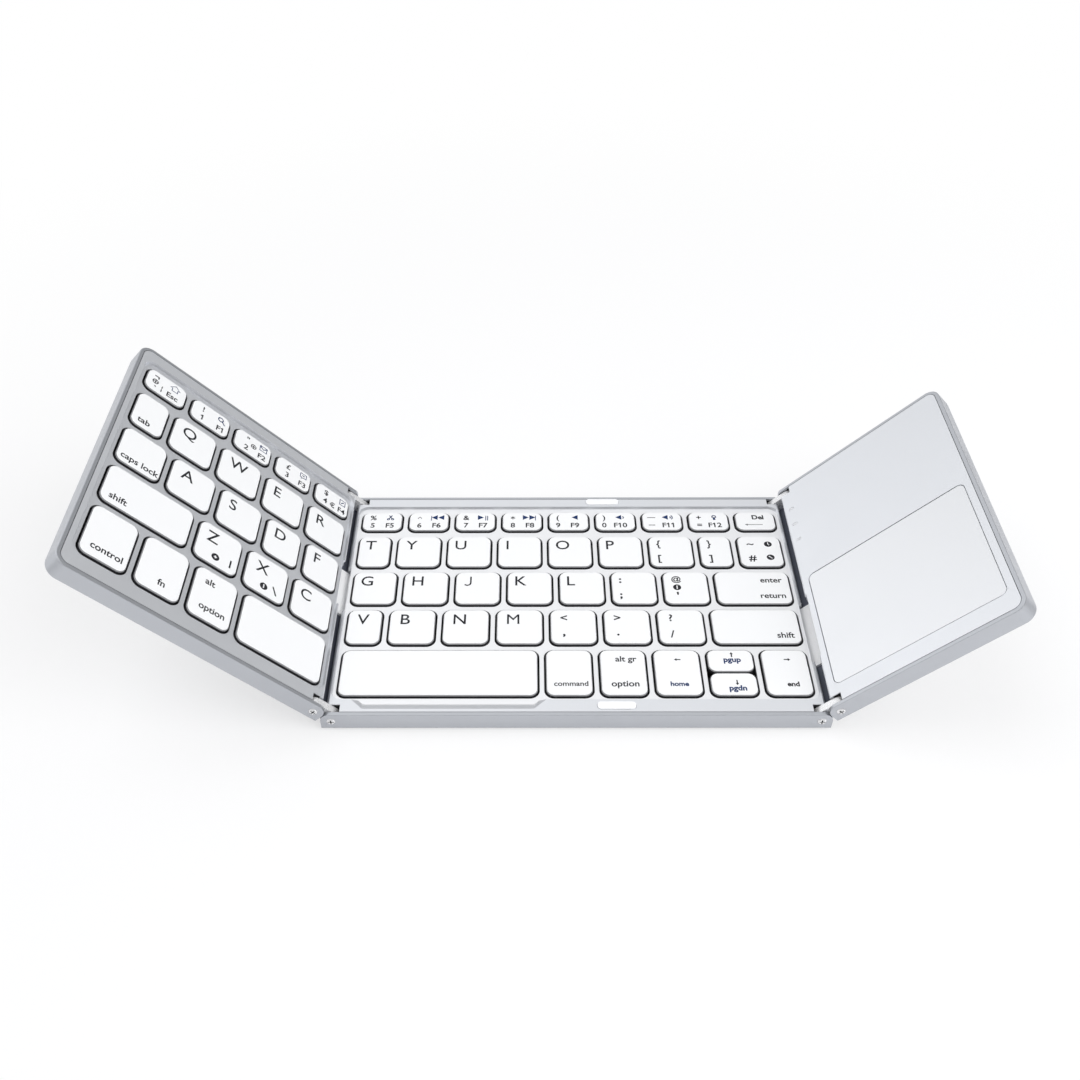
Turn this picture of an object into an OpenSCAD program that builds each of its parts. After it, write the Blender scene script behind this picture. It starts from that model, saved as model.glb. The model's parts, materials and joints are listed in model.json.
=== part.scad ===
// Folding keyboard: a centre panel and two wings, each wing carried by a pair of links with two pivots.
// Lengths are in millimetres. The origin is on the desk under the middle of the centre panel,
// +X is to the typist's right, +Y is the back and +Z is up. The wings are drawn half raised.

/* [Pose] */
// Angle of both wings above flat in the drawn pose, in degrees
rest_fold = 45; // [0:1:80]

/* [Panels] */
// Width of the centre panel from ear tip to ear tip
centre_width = 151; // [145:0.5:170]
// Depth of all three panels from front to back
panel_depth = 98; // [95:0.5:110]
// Thickness of each panel
panel_thickness = 6.4; // [6.2:0.1:8]
// Length of the left wing from its ear tips to its outer edge
left_length = 87.2; // [84:0.1:95]
// Length of the right wing from its ear tips to its outer edge
right_length = 63.2; // [62.5:0.1:75]
// Corner radius at the wings' outer ends
corner_radius = 4.1; // [3:0.1:6]
// Rounding along the bottom edges of the shells
bottom_rounding = 0.6; // [0.4:0.1:1.5]
// Rounding along the top outer edges of the shells
top_rounding = 0.3; // [0.1:0.05:0.6]

/* [Shells] */
// Thickness of the shell's bottom wall
floor_wall = 0.9; // [0.7:0.1:1.2]
// Width of the shell rim that shows round the top plates, and thickness of the hinge ears
rim_wall = 1.15; // [1:0.05:1.5]
// Width of the ledge inside the rim that the top plates sit on
ledge_width = 1.0; // [0.6:0.1:1.5]
// Thickness of the shell wall along the hinge edges
hinge_wall = 1.0; // [0.8:0.1:1.4]
// Clearance between a top plate and the shell rim
seam_gap = 0.18; // [0.05:0.01:0.2]

/* [Hinges] */
// Height of the pivots above the underside of a panel
pivot_height = 3.3; // [3.1:0.05:3.8]
// Clearance between the top faces when a wing is folded shut
closed_gap = 0.4; // [0.3:0.05:1]
// Clearance between facing ear tips when the panels are flat
ear_gap = 0.3; // [0.2:0.05:0.6]
// Distance that the panel edges between the ears reach past the pivots
edge_reach = 1.3; // [1:0.05:1.6]
// Radius of the round nose that a panel's edge keeps about its pivot axis
nose_radius = 2.0; // [1.5:0.05:2]
// Rounding along the top of the hinge edges
edge_rounding = 0.8; // [0.7:0.05:1]
// Thickness of a hinge link, front to back
link_thickness = 2.35; // [2:0.05:2.6]
// Radius of a hinge link's ends
link_radius = 2.35; // [2.1:0.05:2.5]
// Clearance between a link and the ear beside it
link_gap = 0.2; // [0.15:0.05:0.4]
// Clearance round a link in its notch
notch_gap = 0.3; // [0.2:0.05:0.4]
// Radius of the pivot screws' shoulders
pivot_radius = 0.8; // [0.6:0.05:1]
// Running clearance of the links on the pivot screws
pivot_clearance = 0.05; // [0.02:0.01:0.08]
// Clearance of the pivot screws in the shells that hold them
screw_clearance = 0.02; // [0:0.01:0.04]
// Radius of the pivot screw heads
head_radius = 1.3; // [1.1:0.05:1.6]
// Depth of the pivot screw heads in the ears
head_depth = 0.5; // [0.3:0.05:0.6]
// Height of the domed top of a screw head over the ear's face
head_proud = 0.25; // [0.1:0.05:0.3]
// Width of the bevel round the top of a screw head
head_bevel = 0.35; // [0.1:0.05:0.4]
// Length of the cross recess in a screw head
recess_length = 1.7; // [1.2:0.1:1.8]
// Width of the cross recess in a screw head
recess_width = 0.42; // [0.2:0.02:0.5]
// Depth of the cross recess in a screw head
recess_depth = 0.4; // [0.2:0.05:0.5]
// Length of screw held in the boss behind each notch
boss_depth = 2.0; // [1.5:0.1:3]
// Clearance between the panel edges and the spine or bridge that rides between them
spine_gap = 0.35; // [0.3:0.05:0.5]
// Thickness of the dark spine that joins the two links of a side
spine_thickness = 1.0; // [0.8:0.05:1.1]
// Amount by which the panel edges are cut back at a cable bridge
bridge_relief = 0.9; // [0.5:0.05:1]
// Rounding along the outer edges of a cable bridge
bridge_rounding = 0.9; // [0.3:0.1:1.1]
// Length of the left cable bridge along the hinge
left_bridge_length = 19.3; // [10:0.1:30]
// Place of the left cable bridge's middle, behind the middle of the panel
left_bridge_y = 3.65; // [-15:0.05:15]
// Length of the right cable bridge along the hinge
right_bridge_length = 24.8; // [10:0.1:30]
// Place of the right cable bridge's middle, behind the middle of the panel
right_bridge_y = -15.6; // [-20:0.05:15]

/* [Key field] */
// Width of the top frame's rim in front of the keys
front_rim = 6.3; // [6:0.1:8]
// Width of the top frame's rim behind the keys
back_rim = 5.5; // [5:0.1:8]
// Width of the rim at the left wing's outer end
outer_rim = 3.2; // [3:0.1:5]
// Width of the rim along the hinge edges
side_rim = 1.0; // [0.8:0.05:1.5]
// Depth of the well that the keys stand in
well_depth = 1.0; // [0.8:0.1:1.2]
// Slope of the well's walls, as their width seen from above
well_slope = 0.35; // [0.2:0.05:0.5]
// Radius of the well's corners
well_radius = 3.2; // [2:0.1:4]
// Thickness of the frame between the keys
web_thickness = 1.0; // [0.8:0.05:1.2]
// Width of the frame between two keys
key_web = 1.35; // [1.2:0.05:2]
// Width of well floor beside the outermost keys
well_margin = 0.9; // [0.7:0.05:1.2]
// Width of well floor behind the number row
back_margin = 1.85; // [1:0.05:2.5]
// Width of well floor in front of the bottom row
front_margin = 0.75; // [0.5:0.05:1.2]
// Corner radius of the openings for the keys
opening_radius = 3.0; // [2:0.1:3.5]
// Width of the flat floor of the thumb relief in front of the space key
relief_floor = 1.45; // [0.5:0.05:2]
// Run of the slope from the thumb relief's floor up to the rim
relief_slope = 2.45; // [1:0.05:2.6]
// Start of the thumb relief from the left end of the space key's opening
relief_start = 4.7; // [2:0.1:10]
// End of the thumb relief past the right end of the space key's opening
relief_end = 2.2; // [-5:0.1:4]
// Rounding of the thumb relief's corners
relief_rounding = 1.2; // [0.5:0.1:1.4]

/* [Keys] */
// Distance between the middles of two letter keys in a row
key_pitch = 16.95; // [16:0.05:17]
// Distance between two rows of letter keys
row_pitch = 17.25; // [16.5:0.05:17.5]
// Depth of the openings of the number row
number_row_depth = 10.4; // [9.5:0.1:11]
// Width of the frame between the number row and the letters
number_row_gap = 2.1; // [1.4:0.1:3]
// Cell width of the narrow T key
t_cell = 13.15; // [12:0.05:14]
// Cell width of the narrow V key
v_cell = 13.25; // [12:0.05:14]
// Cell width of the G key
g_cell = 16.5; // [15.5:0.05:17]
// Cell width of the narrow D and F keys
df_cell = 15.15; // [14:0.05:16]
// Cell width of the small keys in the centre panel's bottom row
centre_bottom_cell = 16.48; // [15:0.02:17]
// Cell width of the small keys in the left wing's bottom row
left_bottom_cell = 16.27; // [15:0.01:17]
// Clearance between a key and its opening
key_gap = 0.5; // [0.3:0.05:0.7]
// Corner radius of a key
key_radius = 2.6; // [1.5:0.1:3]
// Height of a keycap from skirt to top
cap_height = 2.2; // [2:0.1:2.4]
// Height of the sloped band below a keycap's top
cap_slope_height = 0.8; // [0.4:0.05:1.1]
// Width of the sloped band round a keycap's top
cap_slope = 0.3; // [0.15:0.05:0.5]
// Wall thickness of a keycap
cap_wall = 0.9; // [0.7:0.05:1.1]
// Distance that a keycap's top sits below the rim
cap_recess = 0.1; // [0.05:0.05:0.3]
// Distance that a key travels
key_travel = 1.2; // [0.8:0.1:1.3]
// Gap between the page up and page down keys, which share an opening
page_gap = 0.4; // [0.3:0.05:0.8]

/* [Inside] */
// Thickness of the switch boards
board_thickness = 0.8; // [0.5:0.1:1]
// Clearance between a board and the shell walls
board_gap = 0.4; // [0.2:0.1:1]
// Radius at the foot of a rubber dome
dome_foot = 2.6; // [2:0.1:2.9]
// Radius at the top of a rubber dome
dome_top = 1.5; // [1:0.1:1.8]
// Clearance above a dome when its key is pressed
dome_gap = 0.1; // [0.05:0.05:0.2]
// Length of the battery cell
battery_length = 48; // [30:1:50]
// Width of the battery cell
battery_width = 22; // [15:1:24]
// Thickness of the battery cell
battery_thickness = 3.5; // [2:0.1:3.8]
// Width of the charging socket
socket_width = 7.8; // [7:0.1:9]
// Height of the charging socket
socket_height = 2.7; // [2.4:0.1:3]
// Length of the charging socket from its mouth
socket_length = 5.6; // [5:0.1:7]
// Thickness of the charging socket's metal
socket_wall = 0.3; // [0.2:0.05:0.4]
// Distance of the charging socket from the right wing's pivot
socket_x = 30; // [20:0.5:40]
// Width of the controller chip
controller_width = 6; // [4:0.5:8]
// Width of the radio chip
radio_width = 4.5; // [3:0.5:6]
// Height of the chips above their board
chip_height = 1.0; // [0.6:0.1:1.4]

/* [Touchpad] */
// Thickness of the right wing's top cover
cover_thickness = 1.2; // [1:0.1:1.5]
// Width of the touchpad, from left to right
pad_width = 54.5; // [45:0.1:55]
// Depth of the touchpad, from front to back
pad_depth = 45.4; // [40:0.1:48]
// Distance of the touchpad's inner edge from the right wing's pivot
pad_x = 1.75; // [1.5:0.05:2.5]
// Distance of the touchpad's front edge from the front of the panel
pad_y = 7.5; // [6:0.1:9]
// Corner radius of the touchpad
pad_radius = 1.9; // [1:0.1:3]
// Clearance between the touchpad and the cover
pad_gap = 0.25; // [0.15:0.05:0.4]
// Distance that the touchpad sits below the cover's top
pad_recess = 0.1; // [0.05:0.05:0.3]
// Thickness of the sensor board bonded under the touchpad
sensor_thickness = 0.6; // [0.4:0.1:1]
// Width by which the sensor board reaches under the cover
sensor_lap = 0.8; // [0.5:0.1:1.2]
// Radius of the posts that carry the touchpad
post_radius = 1.5; // [1:0.1:1.8]
// Length of each indicator window
window_length = 1.8; // [1.2:0.1:2.5]
// Width of each indicator window
window_width = 0.7; // [0.5:0.1:1]
// Distance of the indicator windows from the right wing's pivot
window_x = 1.7; // [1.4:0.1:3]
// Distance of the middle indicator window from the back of the panel
window_y = 19.8; // [15:0.1:22]
// Distance between the indicator windows
window_pitch = 7.6; // [5:0.1:9]

/* [Pads and feet] */
// Height of the rubber feet, which lift the shells off the desk
foot_height = 0.8; // [0.4:0.1:1.5]
// Radius of the rubber feet
foot_radius = 4; // [2.5:0.1:5]
// Distance of the feet from the nearest edges, to their middles
foot_inset = 9; // [8:0.5:14]
// Length of the bumper pads
bumper_length = 11.4; // [8:0.1:14]
// Width of the bumper pads
bumper_width = 2.8; // [2:0.1:3]
// Corner radius of the bumper pads
bumper_radius = 1.2; // [0.5:0.1:1.3]
// Height that the bumper pads stand proud of the rim
bumper_proud = 0.25; // [0.1:0.05:0.3]
// Depth of the pockets that hold the bumper pads
bumper_pocket = 0.5; // [0.3:0.05:0.8]
// Clearance round a bumper pad in its pocket
bumper_gap = 0.1; // [0.03:0.01:0.12]
// Distance of the back bumper pad's middle from the back of the panel
back_bumper_y = 2.8; // [2.7:0.05:3.5]
// Distance of the front bumper pad's middle from the front of the panel
front_bumper_y = 3.6; // [3:0.05:4]

/* [Hidden] */
$fn = 48;

silver = [0.80, 0.81, 0.84];
steel = [0.70, 0.71, 0.73];
key_white = [0.95, 0.95, 0.96];
slate = [0.22, 0.23, 0.27];
board_green = [0.10, 0.30, 0.20];
rubber = [0.16, 0.16, 0.17];

// A cut runs this far past the face that it opens
past = 1;
half_depth = panel_depth / 2;

// Hinge geometry. Each panel edge stays on its own side of the middle between the two pivots.
pivot_spacing = 2 * (panel_thickness - pivot_height) + closed_gap;
ear_reach = (pivot_spacing - ear_gap) / 2;
pin_x = centre_width / 2 - ear_reach;
pin_z = foot_height + pivot_height;
left_reach = left_length - ear_reach;
right_reach = right_length - ear_reach;
ear_inner_y = half_depth - rim_wall;
link_outer_y = ear_inner_y - link_gap;
link_inner_y = link_outer_y - link_thickness;
notch_inner_y = link_inner_y - notch_gap;
notch_reach = link_radius + notch_gap;
notch_floor = pivot_height - link_radius - notch_gap;
boss_inner_y = notch_inner_y - boss_depth;
screw_seat_y = half_depth - head_depth;

// Heights above a panel's underside
frame_seat = panel_thickness - well_depth - web_thickness;
cover_seat = panel_thickness - cover_thickness;
well_floor = panel_thickness - well_depth;
cap_top = panel_thickness - cap_recess;
cap_bottom = cap_top - cap_height;
dome_height = cap_top - cap_wall - key_travel - dome_gap - floor_wall - board_thickness;

// The key field. A row is a list of cells: the node of the key, the width of its cell, and whether
// the cell holds two half keys. A width of 0 takes what the rest of the row leaves.
field_back = half_depth - back_rim - back_margin;
field_front = front_rim + front_margin - half_depth;
centre_left = ear_reach - edge_reach + side_rim + well_margin - centre_width / 2;
centre_field = key_web - 2 * centre_left;
left_left = outer_rim + well_margin - left_reach;
left_field = edge_reach - side_rim - well_margin - left_left + key_web;

centre_rows = [
    [for (i = [1:9]) ["centre_number_keys", centre_field / 9]],
    [["key_t", t_cell], ["key_y", key_pitch], ["key_u", key_pitch], ["key_i", key_pitch],
     ["key_o", key_pitch], ["key_p", key_pitch], ["punctuation_keys", key_pitch],
     ["punctuation_keys", 0], ["punctuation_keys", key_pitch]],
    [["key_g", g_cell], ["key_h", key_pitch], ["key_j", key_pitch], ["key_k", key_pitch],
     ["key_l", key_pitch], ["punctuation_keys", key_pitch], ["punctuation_keys", key_pitch],
     ["right_edge_keys", 0]],
    [["key_v", v_cell], ["key_b", key_pitch], ["key_n", key_pitch], ["key_m", key_pitch],
     ["punctuation_keys", key_pitch], ["punctuation_keys", key_pitch], ["punctuation_keys", key_pitch],
     ["right_edge_keys", 0]],
    [["centre_space_key", 0], for (i = [1:5]) ["navigation_keys", centre_bottom_cell, i == 4]]
];
left_rows = [
    [for (i = [1:5]) ["left_number_keys", left_field / 5]],
    [["left_edge_keys", 0], ["key_q", key_pitch], ["key_w", key_pitch], ["key_e", key_pitch],
     ["key_r", key_pitch]],
    [["left_edge_keys", 0], ["key_a", key_pitch], ["key_s", key_pitch], ["key_d", df_cell],
     ["key_f", df_cell]],
    [["left_edge_keys", 0], ["key_z", key_pitch], ["key_x", key_pitch], ["key_c", key_pitch]],
    [for (i = [1:3]) ["left_edge_keys", left_bottom_cell], ["left_space_key", 0]]
];
centre_key_nodes = ["centre_number_keys", "punctuation_keys", "right_edge_keys", "centre_space_key",
                    "navigation_keys", "key_t", "key_y", "key_u", "key_i", "key_o", "key_p", "key_g",
                    "key_h", "key_j", "key_k", "key_l", "key_v", "key_b", "key_n", "key_m"];
left_key_nodes = ["left_number_keys", "left_edge_keys", "left_space_key", "key_q", "key_w", "key_e",
                  "key_r", "key_a", "key_s", "key_d", "key_f", "key_z", "key_x", "key_c"];

function total(widths, last) = last < 0 ? 0 : widths[last] + total(widths, last - 1);
function cell_width(row, i, field) =
    row[i][1] > 0 ? row[i][1] : field - total([for (cell = row) cell[1]], len(row) - 1);
function cell_start(row, i, field) = i == 0 ? 0 : cell_start(row, i - 1, field) + cell_width(row, i - 1, field);
function row_back(r) = field_back - (r == 0 ? 0 : number_row_depth + number_row_gap + (r - 1) * row_pitch);
function row_opening(r) = r == 0 ? number_row_depth : r < 4 ? row_pitch - key_web : row_back(r) - field_front;

// Every opening of a panel as [node, middle x, middle y, width, depth, split]
function openings(rows, left, field) = [
    for (r = [0:len(rows) - 1])
        for (i = [0:len(rows[r]) - 1])
            let (width = cell_width(rows[r], i, field) - key_web, depth = row_opening(r))
            [rows[r][i][0], left + cell_start(rows[r], i, field) + width / 2,
             row_back(r) - depth / 2, width, depth, rows[r][i][2] == true]
];
centre_openings = openings(centre_rows, centre_left, centre_field);
left_openings = openings(left_rows, left_left, left_field);
space_opening = [for (o = centre_openings) if (o[0] == "centre_space_key") o][0];

// The folded wings meet over this point of the centre panel, and the bumper pads bridge their joint
wing_joint_x = (left_reach - right_reach) / 2;
bumper_places = [[wing_joint_x, half_depth - back_bumper_y], [wing_joint_x, front_bumper_y - half_depth]];

// Places and frames

// The right wing's link, with its centre pivot at the origin and its wing pivot along +X
module in_right_link() {
    translate([pin_x, 0, pin_z]) rotate([0, -rest_fold, 0]) children();
}

// The right wing, with its pivot axis over x = 0, its underside at z = 0 and its outer end along +X
module on_right_wing() {
    in_right_link() translate([pivot_spacing, 0, -pivot_height]) children();
}

// The left wing in the same way, with its outer end along -X
module on_left_wing() {
    translate([-pin_x, 0, pin_z]) rotate([0, rest_fold, 0])
        translate([-pivot_spacing, 0, -pivot_height]) children();
}

module on_centre() {
    translate([0, 0, foot_height]) children();
}

module both_ends() {
    children();
    mirror([0, 1, 0]) children();
}

module both_sides() {
    children();
    mirror([1, 0, 0]) children();
}

// Building blocks

// A rectangle from corner to corner with rounded corners
module rounded_rectangle(x0, y0, x1, y1, radius) {
    translate([x0 + radius, y0]) square([x1 - x0 - 2 * radius, y1 - y0]);
    translate([x0, y0 + radius]) square([x1 - x0, y1 - y0 - 2 * radius]);
    for (x = [x0 + radius, x1 - radius], y = [y0 + radius, y1 - radius])
        translate([x, y]) circle(radius);
}

// The same shape about a middle
module centred_rounded_rectangle(width, depth, radius) {
    rounded_rectangle(-width / 2, -depth / 2, width / 2, depth / 2, radius);
}

// A prism along Y from y0 to y1, whose section is drawn in X and Z
module along_y(y0, y1) {
    translate([0, y1, 0]) rotate([90, 0, 0]) linear_extrude(y1 - y0) children();
}

// A prism along X from x0 to x1, whose section is drawn in Y and Z
module along_x(x0, x1) {
    translate([x0, 0, 0]) rotate([90, 0, 90]) linear_extrude(x1 - x0) children();
}

// The rounded-away corners of a shell section that is width wide, below and above
module section_corners(width) {
    difference() {
        translate([width - bottom_rounding, -past]) square(bottom_rounding + past);
        translate([width - bottom_rounding, bottom_rounding]) circle(bottom_rounding);
    }
    difference() {
        translate([width - top_rounding, panel_thickness - top_rounding]) square(top_rounding + past);
        translate([width - top_rounding, panel_thickness - top_rounding]) circle(top_rounding);
    }
}

// A shell's section from the origin out to width, with both outer edges rounded
module edge_section(width) {
    difference() {
        square([width, panel_thickness]);
        section_corners(width);
    }
}

// A shell's full section from front to back
module full_section() {
    edge_section(half_depth);
    mirror([1, 0, 0]) edge_section(half_depth);
}

// The solid outside of a wing, from its ear tips to its rounded outer end
module wing_block(reach) {
    end_x = reach - corner_radius;
    end_y = half_depth - corner_radius;
    along_x(-ear_reach, end_x) full_section();
    along_y(-end_y, end_y) translate([end_x, 0]) edge_section(corner_radius);
    both_ends() translate([end_x, end_y, 0]) rotate_extrude(angle = 90) edge_section(corner_radius);
}

// What is cut from a shell at a hinge, for a pivot axis over x = 0 and a panel along +X
module hinge_cuts(bridge_y, bridge_length) {
    // The panel's edge between the ears, which keeps its round nose
    difference() {
        translate([-ear_reach - past, -ear_inner_y, -past])
            cube([ear_reach - edge_reach + past, 2 * ear_inner_y, panel_thickness + 2 * past]);
        along_y(-half_depth, half_depth) translate([0, pivot_height]) circle(nose_radius);
    }
    // Room for the cable bridge
    translate([-ear_reach - past, bridge_y - bridge_length / 2 - spine_gap, -past])
        cube([ear_reach - edge_reach + bridge_relief + past, bridge_length + 2 * spine_gap,
              panel_thickness + 2 * past]);
    both_ends() {
        // The round top of the ear
        along_y(ear_inner_y - past, half_depth + past) difference() {
            translate([-ear_reach - past, pivot_height])
                square([ear_reach + past, panel_thickness - pivot_height + past]);
            translate([0, pivot_height]) circle(ear_reach);
        }
        // The notch that the link turns in
        translate([-ear_reach - past, notch_inner_y, notch_floor])
            cube([ear_reach + past + notch_reach, ear_inner_y - notch_inner_y, panel_thickness]);
        // The screw's head and shoulder
        along_y(screw_seat_y, half_depth + past)
            translate([0, pivot_height]) circle(head_radius + pivot_clearance);
        along_y(boss_inner_y - past, half_depth)
            translate([0, pivot_height]) circle(pivot_radius + screw_clearance);
    }
}

// Plan of the space inside a panel's ledges, for a pivot axis over x = 0
module inside_plan(reach, seat_x) {
    wall = rim_wall + ledge_width;
    difference() {
        rounded_rectangle(hinge_wall - edge_reach, wall - half_depth, reach, half_depth - wall,
                          corner_radius - wall);
        both_ends() translate([-past - edge_reach, boss_inner_y])
            square([seat_x + edge_reach + past, half_depth]);
    }
}

// A wing's shell: a tray whose top plate sits at the height seat
module wing_shell(reach, seat, bridge_y, bridge_length) {
    wall = rim_wall + ledge_width;
    difference() {
        wing_block(reach);
        translate([0, 0, floor_wall]) linear_extrude(seat) difference() {
            inside_plan(reach - wall, notch_reach + hinge_wall);
            // The wall stays whole behind the cable bridge
            translate([-edge_reach, bridge_y - bridge_length / 2 - spine_gap - hinge_wall])
                square([bridge_relief + hinge_wall, bridge_length + 2 * (spine_gap + hinge_wall)]);
        }
        translate([0, 0, seat]) linear_extrude(panel_thickness)
            rounded_rectangle(-ear_reach - corner_radius, rim_wall - half_depth, reach - rim_wall,
                              half_depth - rim_wall, corner_radius - rim_wall);
        hinge_cuts(bridge_y, bridge_length);
    }
}

// Plan of a wing's top plate
module wing_plate_plan(reach) {
    gap = rim_wall + seam_gap;
    difference() {
        rounded_rectangle(-edge_reach - corner_radius, gap - half_depth, reach - gap, half_depth - gap,
                          corner_radius - gap);
        translate([-edge_reach - 2 * corner_radius, -half_depth]) square([2 * corner_radius, panel_depth]);
    }
}

// What is cut from a top plate at a hinge, for a pivot axis over x = 0
module plate_hinge_cuts(bridge_y, bridge_length) {
    both_ends() translate([-edge_reach - past, notch_inner_y, -past])
        cube([edge_reach + past + notch_reach, half_depth, panel_thickness + 2 * past]);
    translate([-edge_reach - past, bridge_y - bridge_length / 2 - spine_gap, -past])
        cube([bridge_relief + past, bridge_length + 2 * spine_gap, panel_thickness + 2 * past]);
    along_y(-half_depth, half_depth) translate([-edge_reach, panel_thickness]) difference() {
        translate([-past, -edge_rounding]) square([edge_rounding + past, edge_rounding + past]);
        translate([edge_rounding, -edge_rounding]) circle(edge_rounding);
    }
}

// The well that a panel's keys stand in, with sloped walls, from x0 to x1
module key_well(x0, x1) {
    y0 = front_rim - half_depth;
    y1 = half_depth - back_rim;
    rise = well_depth + past;
    spread = well_slope * rise / well_depth;
    translate([0, 0, well_floor]) hull() {
        linear_extrude(0.01) rounded_rectangle(x0, y0, x1, y1, well_radius);
        translate([0, 0, rise]) linear_extrude(0.01)
            rounded_rectangle(x0 - spread, y0 - spread, x1 + spread, y1 + spread, well_radius + spread);
    }
}

// The openings that the keys stand in
module key_openings(places) {
    for (o = places)
        translate([o[1], o[2], 0]) linear_extrude(panel_thickness)
            centred_rounded_rectangle(o[3], o[4], opening_radius);
}

// The relief in front of the space key that gives room for the thumbs, with ends at 45 degrees. Its
// plan is set at the well's floor and above the rim, by how many well depths it lies over the floor.
module thumb_relief() {
    x0 = space_opening[1] - space_opening[3] / 2 + relief_start;
    x1 = space_opening[1] + space_opening[3] / 2 + relief_end;
    translate([(x0 + x1) / 2, front_rim - half_depth, well_floor]) hull()
        for (level = [0, 1 + past / well_depth], side = [-1, 1]) {
            corner = relief_floor + relief_slope * level - relief_rounding;
            end = (x1 - x0) / 2 - relief_slope * (1 - level) - sqrt(2) * relief_rounding;
            for (ahead = [-relief_slope, corner])
                translate([side * (end - ahead), -ahead, level * well_depth])
                    cylinder(r = relief_rounding, h = 0.01);
        }
}

// One keycap, hollow below, its top at cap_top over a panel's underside
module keycap(width, depth) {
    shoulder = cap_top - cap_slope_height;
    inner = key_radius - cap_wall / 2;
    difference() {
        translate([0, 0, cap_bottom]) linear_extrude(cap_height)
            centred_rounded_rectangle(width, depth, key_radius);
        for (turn = [0, 90])
            rotate([0, 0, turn]) both_ends() {
                reach = turn == 0 ? depth / 2 : width / 2;
                long = width + depth;
                along_x(-long / 2, long / 2) polygon([
                    [reach, shoulder], [reach + past, shoulder], [reach + past, cap_top + past],
                    [reach - cap_slope * (1 + past / cap_slope_height), cap_top + past]
                ]);
            }
        translate([0, 0, cap_bottom - past]) linear_extrude(cap_height + past - cap_wall)
            centred_rounded_rectangle(width - 2 * cap_wall, depth - 2 * cap_wall, inner);
    }
}

// The keys of one node among a panel's openings
module keys_of(places, name) {
    color(key_white) for (o = places) if (o[0] == name) {
        width = o[3] - 2 * key_gap;
        depth = o[4] - 2 * key_gap;
        half = (depth - page_gap) / 2;
        if (o[5])
            for (side = [-1, 1]) translate([o[1], o[2] + side * (half + page_gap) / 2, 0]) keycap(width, half);
        else
            translate([o[1], o[2], 0]) keycap(width, depth);
    }
}

// A switch board on a shell's floor from x0 to x1, with a rubber dome under every key
module switch_board(places, x0, x1) {
    y1 = boss_inner_y - board_gap;
    translate([0, 0, floor_wall]) {
        color(board_green) translate([x0, -y1, 0]) cube([x1 - x0, 2 * y1, board_thickness]);
        color(rubber) for (o = places) translate([o[1], o[2], board_thickness]) {
            if (o[5])
                for (side = [-1, 1]) translate([0, side * o[4] / 4, 0]) dome();
            else
                dome();
        }
    }
}

module dome() {
    cylinder(r1 = dome_foot, r2 = dome_top, h = dome_height);
}

// Hinge pieces, in the frame of a right link

module hinge_links() {
    color(steel) both_ends() difference() {
        along_y(link_inner_y, link_outer_y) {
            circle(link_radius);
            translate([0, -link_radius]) square([pivot_spacing, 2 * link_radius]);
            translate([pivot_spacing, 0]) circle(link_radius);
        }
        for (x = [0, pivot_spacing])
            translate([x, half_depth, 0]) rotate([90, 0, 0])
                cylinder(r = pivot_radius + pivot_clearance, h = half_depth);
    }
}

// The spine's section is a bar below the line of the two pivots, clear of both panel edges
module spine_section(grow) {
    clear = edge_reach + spine_gap;
    translate([clear - grow, -clear - spine_thickness - grow])
        square([pivot_spacing - 2 * clear + 2 * grow, spine_thickness + 2 * grow]);
}

module hinge_spine() {
    color(slate) along_y(-link_inner_y, link_inner_y) spine_section(0);
}

// A sleeve round the spine that covers the cables between two panels
module cable_bridge(bridge_y, bridge_length) {
    near = edge_reach - bridge_relief + spine_gap;
    low = ear_reach;
    round = bridge_rounding;
    color(silver) along_y(bridge_y - bridge_length / 2, bridge_y + bridge_length / 2) difference() {
        union() {
            translate([near, round - low]) square([pivot_spacing - 2 * near, low - round - near]);
            translate([near + round, -low]) square([pivot_spacing - 2 * (near + round), round]);
            for (x = [near + round, pivot_spacing - near - round])
                translate([x, round - low]) circle(round);
        }
        spine_section(0);
    }
}

module hinge_screws() {
    color(steel) both_ends() difference() {
        union() {
            translate([0, screw_seat_y, pivot_height]) rotate([-90, 0, 0]) {
                cylinder(r = head_radius, h = head_depth);
                translate([0, 0, head_depth])
                    cylinder(r1 = head_radius, r2 = head_radius - head_bevel, h = head_proud);
            }
            translate([0, screw_seat_y, pivot_height]) rotate([90, 0, 0])
                cylinder(r = pivot_radius, h = screw_seat_y - boss_inner_y);
        }
        // The cross recess for a driver
        for (turn = [0, 90])
            translate([0, half_depth + head_proud, pivot_height]) rotate([0, turn, 0])
                cube([recess_length, 2 * recess_depth, recess_width], center = true);
    }
}

module foot() {
    translate([0, 0, -foot_height]) cylinder(r = foot_radius, h = foot_height);
}

// Centre panel

module centre_bottom_shell() {
    seat = frame_seat;
    wall = rim_wall + ledge_width;
    color(silver) on_centre() difference() {
        along_x(-centre_width / 2, centre_width / 2) full_section();
        translate([0, 0, floor_wall]) linear_extrude(seat) difference() {
            square([2 * (pin_x + edge_reach - hinge_wall), panel_depth - 2 * wall], center = true);
            both_sides() both_ends() translate([pin_x - notch_reach - hinge_wall, boss_inner_y])
                square(half_depth);
            for (bridge = [[-1, left_bridge_y, left_bridge_length], [1, right_bridge_y, right_bridge_length]])
                translate([bridge[0] * (pin_x + edge_reach), bridge[1]])
                    square([2 * (bridge_relief + hinge_wall), bridge[2] + 2 * (spine_gap + hinge_wall)],
                           center = true);
        }
        translate([0, 0, seat]) linear_extrude(panel_thickness)
            square([centre_width + 2 * past, 2 * ear_inner_y], center = true);
        translate([-pin_x, 0, 0]) hinge_cuts(left_bridge_y, left_bridge_length);
        translate([pin_x, 0, 0]) mirror([1, 0, 0]) hinge_cuts(right_bridge_y, right_bridge_length);
    }
}

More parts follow.
